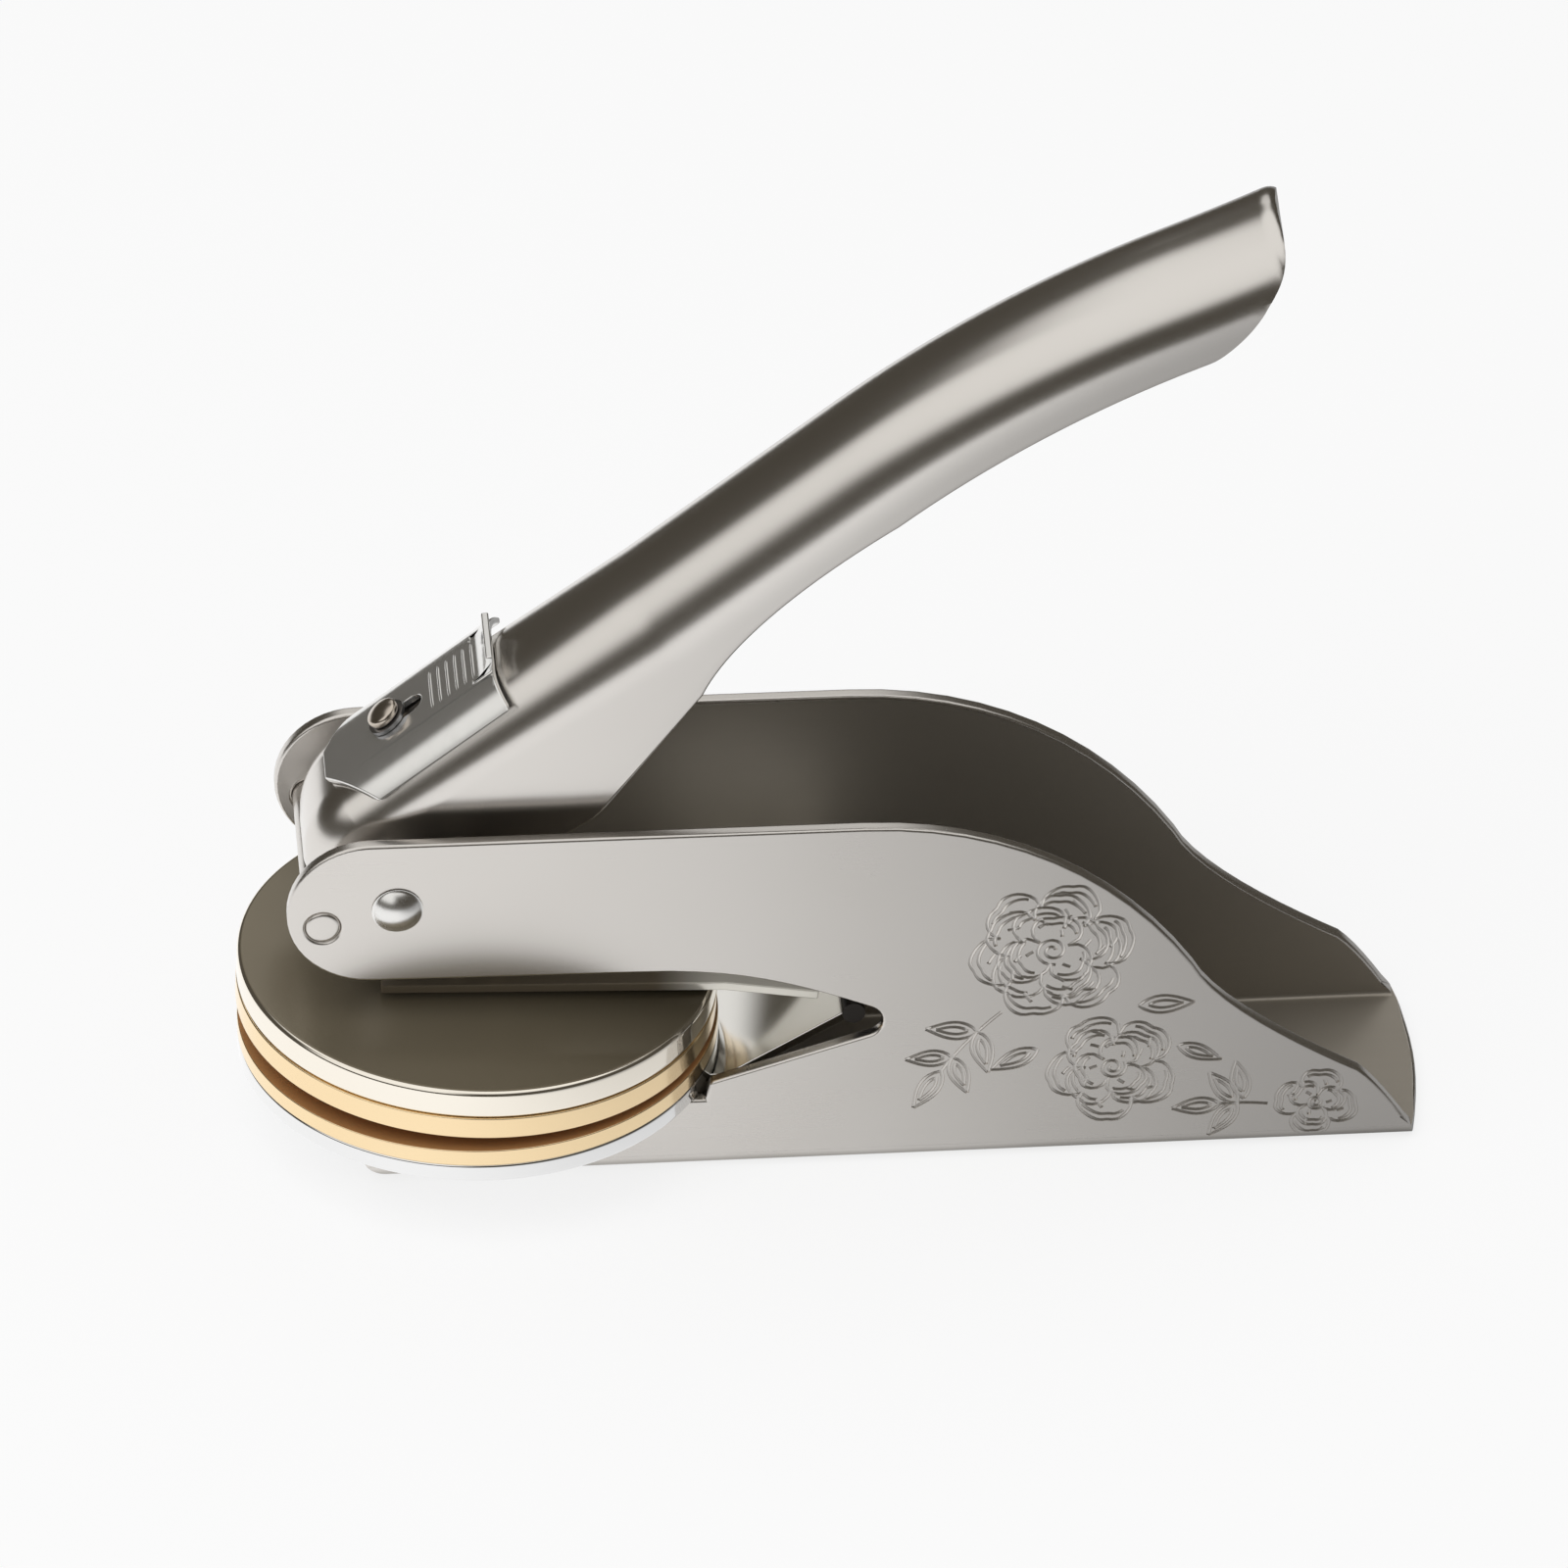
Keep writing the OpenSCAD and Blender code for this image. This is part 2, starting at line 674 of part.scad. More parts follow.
module stem_circlip() {
    color(spring_steel)
    opened()
        difference() {
            translate([0, 0, leaf_z + leaf_t]) cylinder(d = stem_d + 3, h = 0.8);
            cylinder(d = stem_d, h = 60);
        }
}

module upper_plate() {
    color(chrome)
    opened()
        difference() {
            disc(upper_plate_z, upper_plate_t, plate_chamfer);
            translate([0, 0, upper_plate_z + stem_seat]) cylinder(d = stem_d, h = upper_plate_t);
            translate([0, 0, upper_plate_z - 1])
                die_screw_places() cylinder(d = die_screw_d, h = 1 + screw_l - upper_die_t + 0.4);
        }
}

module upper_die() {
    color(brass)
    opened()
        difference() {
            disc(upper_die_z, upper_die_t, 0.15);
            translate([0, 0, upper_die_z - 0.01])
                die_screw_places() {
                    cylinder(d = die_screw_d, h = 9);
                    cylinder(d = 2 * die_screw_d, h = 1.25);
                }
        }
}

module die_screw() {
    cylinder(d = die_screw_d, h = screw_l);
    cylinder(d = 2 * die_screw_d - 0.1, h = 1);
}

module upper_die_screws() {
    color(chrome)
    opened()
        die_screw_places()
            translate([0, 0, upper_die_z + screw_sink]) die_screw();
}

module lower_die() {
    color(brass)
    difference() {
        disc(lower_die_z, lower_die_t, 0.15);
        translate([0, 0, lower_die_z + lower_die_t + 0.01])
            die_screw_places()
                mirror([0, 0, 1]) {
                    cylinder(d = die_screw_d, h = 9);
                    cylinder(d = 2 * die_screw_d, h = 1.25);
                }
    }
}

module lower_die_screws() {
    color(chrome)
    die_screw_places()
        translate([0, 0, lower_die_z + lower_die_t - screw_sink])
            mirror([0, 0, 1]) die_screw();
}

module lower_plate() {
    color(chrome)
    difference() {
        disc(die_seat_z, lower_plate_t, plate_chamfer);
        translate([0, 0, -1]) cylinder(d = stem_d, h = die_seat_z + lower_plate_t - 0.5 + 1);
        translate([0, 0, lower_die_z + 1])
            die_screw_places()
                mirror([0, 0, 1]) cylinder(d = die_screw_d, h = 1 + screw_l - lower_die_t + 0.4);
    }
}

// Stem riveted into the floor, with the collar that the lower leaf rests on
module lower_stem() {
    color(steel)
    union() {
        cylinder(d = spigot_d, h = sheet_t + 1);
        translate([0, 0, sheet_t]) cylinder(d = collar_d, h = die_seat_z - leaf_t - sheet_t);
        translate([0, 0, sheet_t]) cylinder(d = stem_d, h = lower_die_z - 0.5 - sheet_t);
    }
}

frame();
lever();
pivot_rivet();
pivot_washers();
stop_pin();
press_cam();
cam_rivet();
return_spring();
lock_plate();
lock_stud();
lock_washer();
lock_foot();
lock_posts();
upper_leaf();
leaf_clip();
clip_pin();
upper_stem();
upper_collar();
stem_circlip();
upper_plate();
upper_die();
upper_die_screws();
lower_die();
lower_die_screws();
lower_plate();
lower_stem();
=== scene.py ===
"""Looks of the desk seal embosser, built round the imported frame. Blender works in metres. The sizes
below are in millimetres unless they say otherwise, and mesh code turns them to metres."""
import json
import math

import bmesh
import bpy
from mathutils import Matrix, Vector


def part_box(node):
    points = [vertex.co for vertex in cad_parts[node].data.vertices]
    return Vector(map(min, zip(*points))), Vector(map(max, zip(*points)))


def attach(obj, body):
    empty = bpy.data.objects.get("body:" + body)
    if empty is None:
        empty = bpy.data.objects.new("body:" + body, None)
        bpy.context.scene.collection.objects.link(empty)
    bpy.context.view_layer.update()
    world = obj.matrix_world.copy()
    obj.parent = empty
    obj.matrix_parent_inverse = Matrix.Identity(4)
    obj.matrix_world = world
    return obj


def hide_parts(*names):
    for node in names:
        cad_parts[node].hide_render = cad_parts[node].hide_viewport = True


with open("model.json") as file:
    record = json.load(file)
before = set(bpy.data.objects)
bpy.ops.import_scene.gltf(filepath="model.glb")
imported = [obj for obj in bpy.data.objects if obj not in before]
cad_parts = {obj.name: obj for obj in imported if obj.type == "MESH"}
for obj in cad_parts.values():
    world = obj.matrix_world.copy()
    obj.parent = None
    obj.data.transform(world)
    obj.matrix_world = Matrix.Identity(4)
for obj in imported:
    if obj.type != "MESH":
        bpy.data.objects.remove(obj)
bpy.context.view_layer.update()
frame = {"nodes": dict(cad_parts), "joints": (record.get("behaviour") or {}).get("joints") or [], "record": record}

MM = 0.001
BODY_OF = {node: body for body, nodes in frame["record"]["behaviour"]["bodies"].items() for node in nodes}
JOINTS = {joint["name"]: joint for joint in frame["joints"]}


# ---- Driving sizes, in millimetres and degrees ----

# Lever. In its own frame X runs along it from the pivot, and Z stands off it.
PIVOT = Vector([c / MM for c in JOINTS["lever_pivot"]["pos_m"]])
LEVER_SLOPE = 39        # at rest
LEVER_W = 17
LEVER_T = 1.2
LEVER_EDGE = 0.38       # radius of the sheet's rounded edges
CREST_H = 10.9          # crest of the straight part, over the pivot's middle
CROWN_R = 8.4           # radius of the rounded top, across the lever
FRONT_CROWN_R = 5.2     # the crown's radius grows from this at the front
CROWN_FULL_S = 40       # to CROWN_R here
FRONT_S = 1.8           # middle of the bend that folds the front down
FRONT_R = 10            # radius of that bend
FRONT_DROP = 1.68       # the folded front runs on this far, straight
FRONT_LIP = 0.2         # and its sides reach this far in, past the crown
BOSS_R = 5.5            # round lower edge of the cheeks, about the pivot
BOSS_START = 165        # from this angle
BOSS_SWEEP = 120        # over this one
HEEL = Vector((21.4, CREST_H - 18))         # lowest corner of the cheeks
HEEL_R = 1.6
SKIRT_START = Vector((39, CREST_H - 13.4))  # the cheeks end here, and the shallow skirt begins
SKIRT_LEAVE = Vector((SKIRT_START.x + 6.5, CREST_H - 10))
GRIP_START = 67.5       # the straight part ends here
SKIRT_ARRIVE = Vector((GRIP_START - 11, CREST_H - 9.5))
GRIP_R = 138            # the grip bends down at this radius
GRIP_TURN = 21.8        # over this angle
SKIRT_D = 10.4          # the grip's depth
TIP_TURN = 5.6          # angle over which both sides round up to the tip
TIP_FULLNESS = 1.7      # 2 would be an ellipse, 1 a straight cut
TIP_FLARE = 1.0         # the crest flares up by this towards the tip
TIP_CURL = 1.9          # radius at which the crest rolls down at the very tip
TIP_REACH = 0.955       # share of TIP_TURN at which the crest is cut off
TIP_BULGE = 0.035       # the sheet's end bulges past that by this share
TIP_BULGE_H = 7         # over this height
PIVOT_BORE_R = 2.05
CAM_BORE_R = 1.5
POST_SLOT = (12.3, 21.3)        # where the slot for the lock's two posts begins and ends
POST_SLOT_W = 2.2

# Dies and plates, from the lower plate up
CLIP_PIN = Vector([c / MM for c in JOINTS["die_press"]["pos_m"]])
DIE_OPEN = JOINTS["die_press"]["range_deg"][1]      # the upper die hangs open by this about the clip pin
DIE_R = 25
LOWER_PLATE_Z = 8.8
LOWER_PLATE_T = 2.1
LOWER_DIE_T = 1.85
PAPER_GAP = 0.15
UPPER_DIE_T = 2.45
UPPER_PLATE_T = 3.3

# Frame and its engraving
WALL_Y = -12.5          # outer face of the near wall
WALL_T = 1.5
FRAME_EDGE = 0.36
FLOOR_END = 96.4        # the floor's front edge meets the walls here
FLOOR_TOP = 2.6         # just over the floor's upper face and its bend
LINE_R = 0.225          # radius of the graver's round tip
LINE_LIFT = 0.065       # how far the tip's middle stays off the wall

# Grip ribs on the lock plate, in the lever's own frame
LOCK_TOP = CREST_H + 0.95
RIB_START = 15.2
RIB_PITCH = 1.1
RIB_COUNT = 6
RIB_R = 0.24
RIB_SUNK = 0.1          # how far a rib's middle lies under the plate's top
RIB_STOPS = (1.2, 2, 2.6, 3.2, 3.8)     # a rib's points on either side of the middle
PLATE_FLAT = 1.6        # half of the plate's flat middle
PLATE_CROWN = 0.055     # the plate falls off from there with the square of the distance


# ---- Shader and geometry trees ----

class Value:
    """A socket that takes part in arithmetic. Each operator adds its Math node."""

    def __init__(self, net, socket):
        self.net = net
        self.socket = socket

    def math(self, operation, first, second):
        return self.net.add("ShaderNodeMath", {"operation": operation}, {0: first, 1: second})[0]

    def __add__(self, other):
        return self.math("ADD", self, other)

    def __radd__(self, other):
        return self.math("ADD", other, self)

    def __sub__(self, other):
        return self.math("SUBTRACT", self, other)

    def __rsub__(self, other):
        return self.math("SUBTRACT", other, self)

    def __mul__(self, other):
        return self.math("MULTIPLY", self, other)

    def __rmul__(self, other):
        return self.math("MULTIPLY", other, self)


class Made:
    """A node just added. Its outputs are read by name or by number."""

    def __init__(self, net, node):
        self.net = net
        self.node = node

    def __getitem__(self, key):
        return Value(self.net, self.node.outputs[key])


class Net:
    """Adds nodes to one tree."""

    def __init__(self, tree):
        self.tree = tree

    def add(self, kind, settings=None, sockets=None):
        """One node of a kind: its settings are set first, then its sockets are set or linked."""
        node = self.tree.nodes.new(kind)
        for name, setting in (settings or {}).items():
            setattr(node, name, setting)
        for key, value in (sockets or {}).items():
            if isinstance(value, Value):
                self.tree.links.new(value.socket, node.inputs[key])
            else:
                node.inputs[key].default_value = value
        return Made(self, node)

    def rise(self, value, low, high):
        """0 below low and 1 above high, with a smooth slope between them."""
        return self.add("ShaderNodeMapRange", {"interpolation_type": "SMOOTHSTEP"},
                        {"Value": value, "From Min": low, "From Max": high})["Result"]

    def blend(self, amount, first, second):
        """A mix of two colours."""
        return self.add("ShaderNodeMix", {"data_type": "RGBA"}, {0: amount, 6: first, 7: second})[2]

    def larger(self, first, second):
        return self.add("ShaderNodeMath", {"operation": "MAXIMUM"}, {0: first, 1: second})[0]

    def along(self, place, way):
        """How far a place lies along a direction."""
        return self.add("ShaderNodeVectorMath", {"operation": "DOT_PRODUCT"}, {0: place, 1: way})["Value"]

    def noise(self, place, scale, detail):
        return self.add("ShaderNodeTexNoise", {}, {"Vector": place, "Scale": scale, "Detail": detail})["Fac"]

    def object_place(self):
        return self.add("ShaderNodeTexCoord")["Object"]


def new_material(name):
    material = bpy.data.materials.new(name)
    material.use_nodes = True
    material.node_tree.nodes.clear()
    return material, Net(material.node_tree)


def new_tree(name, **inputs):
    """A geometry tree with its net and its inputs: a geometry, then the named ones."""
    tree = bpy.data.node_groups.new(name, "GeometryNodeTree")
    for label, kind in {"Geometry": "Geometry", **inputs}.items():
        tree.interface.new_socket(label, in_out="INPUT", socket_type="NodeSocket" + kind)
    tree.interface.new_socket("Geometry", in_out="OUTPUT", socket_type="NodeSocketGeometry")
    net = Net(tree)
    return tree, net, net.add("NodeGroupInput")


def end_tree(net, geometry, finish):
    """Makes a tree's instances real, gives them their finish and hands them out."""
    real = net.add("GeometryNodeRealizeInstances", {}, {"Geometry": geometry})["Geometry"]
    dressed = net.add("GeometryNodeSetMaterial", {}, {"Geometry": real, "Material": finish})["Geometry"]
    net.add("NodeGroupOutput", {}, {0: dressed})


# ---- Finishes ----

DRIFT_SCALE = 45.0      # waves of slow colour change in a metre
SPECK_SCALE = 5200.0
LINE_SHARE = 0.6        # of the bump; the specks have the rest
RAGGED = 0.0006         # metres by which a colour ramp's border wanders


def metal(name, colour, shade, rough, rough_spread, grain, grain_depth, slope=0.0, metallic=1.0,
          colour_ramp=None):
    """A metal finish. Fine lines run along a direction that rises by slope degrees from X to Z.
    Colour drifts a little towards shade, and roughness varies by rough_spread. A colour ramp is
    (colour, direction, from, to): the colour that the finish turns to along a direction, in millimetres,
    mostly used below for painted shade. The grain is given in waves for each metre, and its depth in millimetres."""
    material, net = new_material(name)
    place = net.object_place()
    lines = net.add("ShaderNodeMapping", {}, {"Vector": place, "Rotation": (0, math.radians(slope), 0),
                                              "Scale": grain})["Vector"]
    drift = net.noise(place, DRIFT_SCALE, 2.0)
    line = net.noise(lines, 1.0, 3.0)
    speck = net.noise(place, SPECK_SCALE, 1.0)
    bump = net.add("ShaderNodeBump", {}, {
        "Strength": 1.0,
        "Distance": grain_depth * MM,
        "Height": LINE_SHARE * line + (1 - LINE_SHARE) * speck})["Normal"]
    tint = net.blend(drift, colour + (1.0,), shade + (1.0,))
    if colour_ramp:
        ramp_colour, way, start, end = colour_ramp
        reach = net.along(place, way) + RAGGED * drift
        tint = net.blend(net.rise(reach, start * MM, end * MM), tint, ramp_colour + (1.0,))
    shader = net.add("ShaderNodeBsdfPrincipled", {}, {
        "Base Color": tint,
        "Metallic": metallic,
        "Roughness": (rough - rough_spread) + rough_spread * (drift + line),
        "Normal": bump})["BSDF"]
    net.add("ShaderNodeOutputMaterial", {}, {"Surface": shader})
    return material


WALL_GRAIN = (120.0, 900.0, 3200.0)
TURNED_GRAIN = (500.0, 500.0, 9000.0)
EVEN_GRAIN = (900.0, 900.0, 900.0)

LOOKS = {
    # The frame's outside. Its colour ramp darkens the lowest 1.5 mm: a painted contact shadow on the bottom bend.
    "satin_nickel": dict(
        colour=(0.70, 0.675, 0.645), shade=(0.66, 0.63, 0.595), rough=0.27, rough_spread=0.015,
        grain=WALL_GRAIN, grain_depth=0.00008, colour_ramp=((0.30, 0.28, 0.25), (0, 0, -1), -1.5, -0.1)),
    # The frame's inward faces: a darker copy of the nickel, painted shade inside the channel. Its ramp keeps the
    # pale colour only at the front, at X under -15 mm.
    "inner_nickel_painted_shade": dict(
        colour=(0.66, 0.63, 0.60), shade=(0.60, 0.57, 0.53), rough=0.42, rough_spread=0.08, metallic=0.76,
        grain=WALL_GRAIN, grain_depth=0.0006, colour_ramp=((0.335, 0.305, 0.26), (1, 0, 0), -15, -3)),
    "satin_nickel_lever": dict(
        colour=(0.72, 0.695, 0.665), shade=(0.69, 0.66, 0.625), rough=0.22, rough_spread=0.03,
        grain=WALL_GRAIN, grain_depth=0.0003, slope=LEVER_SLOPE),
    "bright_chrome": dict(
        colour=(0.86, 0.86, 0.86), shade=(0.80, 0.80, 0.80), rough=0.07, rough_spread=0.03,
        grain=EVEN_GRAIN, grain_depth=0.0006),
    "rivet_chrome": dict(
        colour=(0.84, 0.835, 0.82), shade=(0.78, 0.77, 0.75), rough=0.27, rough_spread=0.04,
        grain=EVEN_GRAIN, grain_depth=0.0005),
    "rubbed_chrome": dict(
        colour=(0.84, 0.835, 0.82), shade=(0.70, 0.69, 0.665), rough=0.17, rough_spread=0.10, metallic=0.88,
        grain=EVEN_GRAIN, grain_depth=0.003),
    "rubbed_stud": dict(
        colour=(0.62, 0.56, 0.50), shade=(0.50, 0.44, 0.37), rough=0.20, rough_spread=0.06,
        grain=TURNED_GRAIN, grain_depth=0.001),
    "polished_nickel": dict(
        colour=(0.93, 0.88, 0.79), shade=(0.89, 0.83, 0.73), rough=0.09, rough_spread=0.03,
        grain=EVEN_GRAIN, grain_depth=0.0003),
    # The upper plate's top: a dark copy of the plate's nickel, a painted dark reflection. Its ramp darkens it
    # further towards the right and back, painted shade under the jaw.
    "plate_top_painted_shade_and_reflection": dict(
        colour=(0.21, 0.178, 0.122), shade=(0.18, 0.150, 0.100), rough=0.24, rough_spread=0.05,
        metallic=0.35, grain=TURNED_GRAIN, grain_depth=0.001,
        colour_ramp=((0.060, 0.048, 0.028), (0.75, 0.66, 0), -16, 20)),
    "polished_brass": dict(
        colour=(0.95, 0.76, 0.49), shade=(0.90, 0.69, 0.41), rough=0.16, rough_spread=0.05,
        grain=TURNED_GRAIN, grain_depth=0.001),
    # The dies' facing faces: a dull brown copy of the brass, painted shade in the narrow gap between them.
    "brass_painted_gap_shade": dict(
        colour=(0.52, 0.27, 0.10), shade=(0.40, 0.19, 0.07), rough=0.50, rough_spread=0.10, metallic=0.15,
        grain=TURNED_GRAIN, grain_depth=0.002),
    # The upper leaf and its collar: a pale, partly diffuse steel, painted light where the leaf lies in shade. Its
    # ramp turns it dark brown towards the front, at X under 17 mm.
    "leaf_steel_painted_light": dict(
        colour=(0.96, 0.93, 0.85), shade=(0.92, 0.89, 0.80), rough=0.22, rough_spread=0.05, metallic=0.4,
        grain=WALL_GRAIN, grain_depth=0.0004, colour_ramp=((0.20, 0.165, 0.115), (-1, 0, 0), -25, -17)),
    "bright_leaf": dict(
        colour=(0.93, 0.92, 0.89), shade=(0.88, 0.87, 0.84), rough=0.13, rough_spread=0.03,
        grain=WALL_GRAIN, grain_depth=0.0004),
    "spring_steel": dict(
        colour=(0.40, 0.40, 0.41), shade=(0.32, 0.32, 0.33), rough=0.32, rough_spread=0.08,
        grain=EVEN_GRAIN, grain_depth=0.001),
    "black_steel": dict(
        colour=(0.045, 0.04, 0.036), shade=(0.03, 0.028, 0.026), rough=0.42, rough_spread=0.08,
        grain=EVEN_GRAIN, grain_depth=0.001),
}
FINISHES = {name: metal(name, **look) for name, look in LOOKS.items()}


# ---- Mesh helpers ----

SAME_POINT = 1e-7       # metres between points that become one
ON_AXIS = 1e-6          # a profile's point with less radius than this is a pole


def polar(angle, radius=1.0):
    a = math.radians(angle)
    return Vector((radius * math.cos(a), radius * math.sin(a)))


def bezier(p0, p1, p2, p3, steps):
    """Points after the first on a cubic curve."""
    points = []
    for i in range(1, steps + 1):
        t = i / steps
        s = 1 - t
        points.append(s ** 3 * p0 + 3 * s * s * t * p1 + 3 * s * t * t * p2 + t ** 3 * p3)
    return points


def straight(p, q, steps):
    """Points after the first on a straight line."""
    return [p + (q - p) * i / steps for i in range(1, steps + 1)]


def rounded(corners, radius, steps=4):
    """An open outline with each inner corner rounded."""
    most = 0.45             # share of a side that one corner may take
    points = [Vector(corners[0])]
    for before, corner, after in zip(corners, corners[1:], corners[2:]):
        before, corner, after = Vector(before), Vector(corner), Vector(after)
        reach = min(radius, most * (before - corner).length, most * (after - corner).length)
        start = corner + reach * (before - corner).normalized()
        end = corner + reach * (after - corner).normalized()
        for i in range(steps + 1):
            t = i / steps
            points.append((1 - t) ** 2 * start + 2 * t * (1 - t) * corner + t * t * end)
    return points + [Vector(corners[-1])]


def put(name, data):
    """A new object in the scene."""
    thing = bpy.data.objects.new(name, data)
    bpy.context.scene.collection.objects.link(thing)
    return thing


def new_piece(name, vertices, faces, place=Matrix.Identity(4)):
    """A closed mesh from points in millimetres, moved to its place and left with its object at the origin."""
    mesh = bpy.data.meshes.new(name)
    mesh.from_pydata([place @ Vector(v) * MM for v in vertices], [], faces)
    shape = bmesh.new()
    shape.from_mesh(mesh)
    bmesh.ops.remove_doubles(shape, verts=shape.verts, dist=SAME_POINT)
    bmesh.ops.recalc_face_normals(shape, faces=shape.faces)
    shape.to_mesh(mesh)
    shape.free()
    return put(name, mesh)


def turned(name, profile, at=(0, 0, 0), axis=(0, 0, 1), steps=128):
    """A solid turned about an axis. Its profile goes from pole to pole as (radius, height)."""
    vertices, rings, faces = [], [], []
    for radius, height in profile:
        if radius < ON_AXIS:
            rings.append([len(vertices)] * steps)
            vertices.append((0, 0, height))
            continue
        rings.append([len(vertices) + k for k in range(steps)])
        vertices += [(*polar(360 * k / steps, radius), height) for k in range(steps)]
    for low, high in zip(rings, rings[1:]):
        for k in range(steps):
            ring = [low[k], low[(k + 1) % steps], high[(k + 1) % steps], high[k]]
            face = [v for i, v in enumerate(ring) if v not in ring[:i]]
            if len(face) > 2:
                faces.append(face)
    turn = Vector(axis).to_track_quat("Z", "Y").to_matrix().to_4x4()
    return new_piece(name, vertices, faces, Matrix.Translation(Vector(at)) @ turn)


def block(low, high, place):
    """A box between two corners, to cut with."""
    corners = [(x, y, z) for x in (low[0], high[0]) for y in (low[1], high[1]) for z in (low[2], high[2])]
    faces = [(0, 1, 3, 2), (4, 6, 7, 5), (0, 4, 5, 1), (2, 3, 7, 6), (0, 2, 6, 4), (1, 5, 7, 3)]
    return new_piece("cutter", corners, faces, place)


def merged_copy(name, node):
    """A copy of a CAD node with its corners merged and its flat triangles joined into whole faces."""
    merge, flat = 0.003, 0.4        # millimetres between corners, and degrees between faces
    shape = bmesh.new()
    shape.from_mesh(frame["nodes"][node].data)
    bmesh.ops.remove_doubles(shape, verts=shape.verts, dist=merge * MM)
    bmesh.ops.dissolve_limit(shape, angle_limit=math.radians(flat), verts=shape.verts, edges=shape.edges)
    mesh = bpy.data.meshes.new(name)
    shape.to_mesh(mesh)
    shape.free()
    if "custom_normal" in mesh.attributes:
        mesh.attributes.remove(mesh.attributes["custom_normal"])
    return put(name, mesh)


def plain_mesh(piece):
    """A piece's mesh as its modifiers leave it."""
    return bpy.data.meshes.new_from_object(piece.evaluated_get(bpy.context.evaluated_depsgraph_get()))


def settle(piece):
    """Turns a piece's modifiers into plain mesh."""
    mesh = plain_mesh(piece)
    piece.modifiers.clear()
    piece.data = mesh
    return piece


def grow(piece, tree, **inputs):
    """Runs a geometry tree on a piece, with its inputs set by name, and keeps the plain mesh."""
    modifier = piece.modifiers.new(tree.name, "NODES")
    modifier.node_group = tree
    for item in tree.interface.items_tree:
        if item.item_type == "SOCKET" and item.in_out == "INPUT" and item.name in inputs:
            modifier[item.identifier] = inputs[item.name]
    made = put(piece.name, plain_mesh(piece))
    bpy.data.objects.remove(piece)
    return made


def soften(piece, width, angle=35, steps=3):
    """Rounds a piece's sharp edges, or without an angle the edges that carry a bevel weight."""
    bevel = piece.modifiers.new("edges", "BEVEL")
    bevel.width = width * MM
    bevel.segments = steps
    bevel.limit_method = "ANGLE" if angle else "WEIGHT"
    bevel.angle_limit = math.radians(angle or 0)
    bevel.use_clamp_overlap = False
    return settle(piece)


def carve(piece, *cutters):
    """Cuts each cutter out of a piece."""
    for cutter in cutters:
        cut = piece.modifiers.new("cut", "BOOLEAN")
        cut.operation = "DIFFERENCE"
        cut.solver = "EXACT"
        cut.use_self = True
        cut.object = cutter
    settle(piece)
    for cutter in cutters:
        bpy.data.objects.remove(cutter)
    return piece


def shade(piece, angle=40):
    """Smooth shading with sharp edges over an angle, weighted towards large faces."""
    piece.data.shade_smooth()
    piece.data.set_sharp_from_angle(angle=math.radians(angle))
    weight = piece.modifiers.new("normals", "WEIGHTED_NORMAL")
    weight.keep_sharp = True
    return settle(piece)


def path_object(name, paths):
    """A curve object of paths made of straight steps, each a list of points in millimetres."""
    curve = bpy.data.curves.new(name, "CURVE")
    curve.dimensions = "3D"
    for path in paths:
        spline = curve.splines.new("POLY")
        spline.points.add(len(path) - 1)
        for point, place in zip(spline.points, path):
            point.co = [c * MM for c in place] + [1]
    return put(name, curve)


def hand_over(piece, finish, node):
    """Gives a piece its finish, and sets it on its body in place of its CAD node."""
    piece.data.materials.clear()
    piece.data.materials.append(FINISHES[finish])
    for face in piece.data.polygons:
        face.material_index = 0
    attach(piece, BODY_OF[node])
    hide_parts(node)
    return piece


def second_finish(piece, finish, chosen):
    """Gives another finish to the faces that chosen picks."""
    piece.data.materials.append(FINISHES[finish])
    for face in piece.data.polygons:
        face.material_index = int(chosen(face))


def size(node):
    """A node's lowest and highest corners, in millimetres."""
    low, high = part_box(node)
    return low / MM, high / MM


# ---- Lever ----

FOLD_STEPS = 24
GRIP_STEPS = 16
FLARE_STEPS = 12
CURL_STEPS = (0, 0.25, 0.45, 0.62, 0.76, 0.87, 0.94)    # along the tip's curl, as shares of its radius
PAST_TIP = 1.15         # the shell runs on to this share of TIP_TURN, and the tip's cutter takes it off
CURL_START = 1 - math.degrees(TIP_CURL / GRIP_R) / TIP_TURN


def lever_place():
    """From the lever's own frame, with its origin at the pivot and X along it, to the whole frame."""
    return Matrix.Translation(PIVOT) @ Matrix.Rotation(math.radians(-LEVER_SLOPE), 4, "Y")


def crown_at(s):
    """The crown's radius at a distance along the lever."""
    grown = min(1.0, max(0.0, (s - FRONT_S) / (CROWN_FULL_S - FRONT_S)))
    return FRONT_CROWN_R + (CROWN_R - FRONT_CROWN_R) * grown


def grip_out(turn):
    """The direction off the grip at an angle along its arc."""
    return Vector((math.sin(math.radians(turn)), math.cos(math.radians(turn))))


def grip_point(turn, depth):
    """A point of the grip, seen from the side, at an angle along its arc and a depth under its crest."""
    return Vector((GRIP_START, CREST_H - GRIP_R)) + (GRIP_R - depth) * grip_out(turn)


def tip_lift(t):
    """How far the crest stands off the grip's arc: it flares up towards the tip, then rolls down."""
    rolled = min(CURL_STEPS[-1], max(0.0, (t - CURL_START) / (1 - CURL_START)))
    return TIP_FLARE * min(t, 1.0) ** 2 - TIP_CURL * (1 - math.sqrt(1 - rolled ** 2))


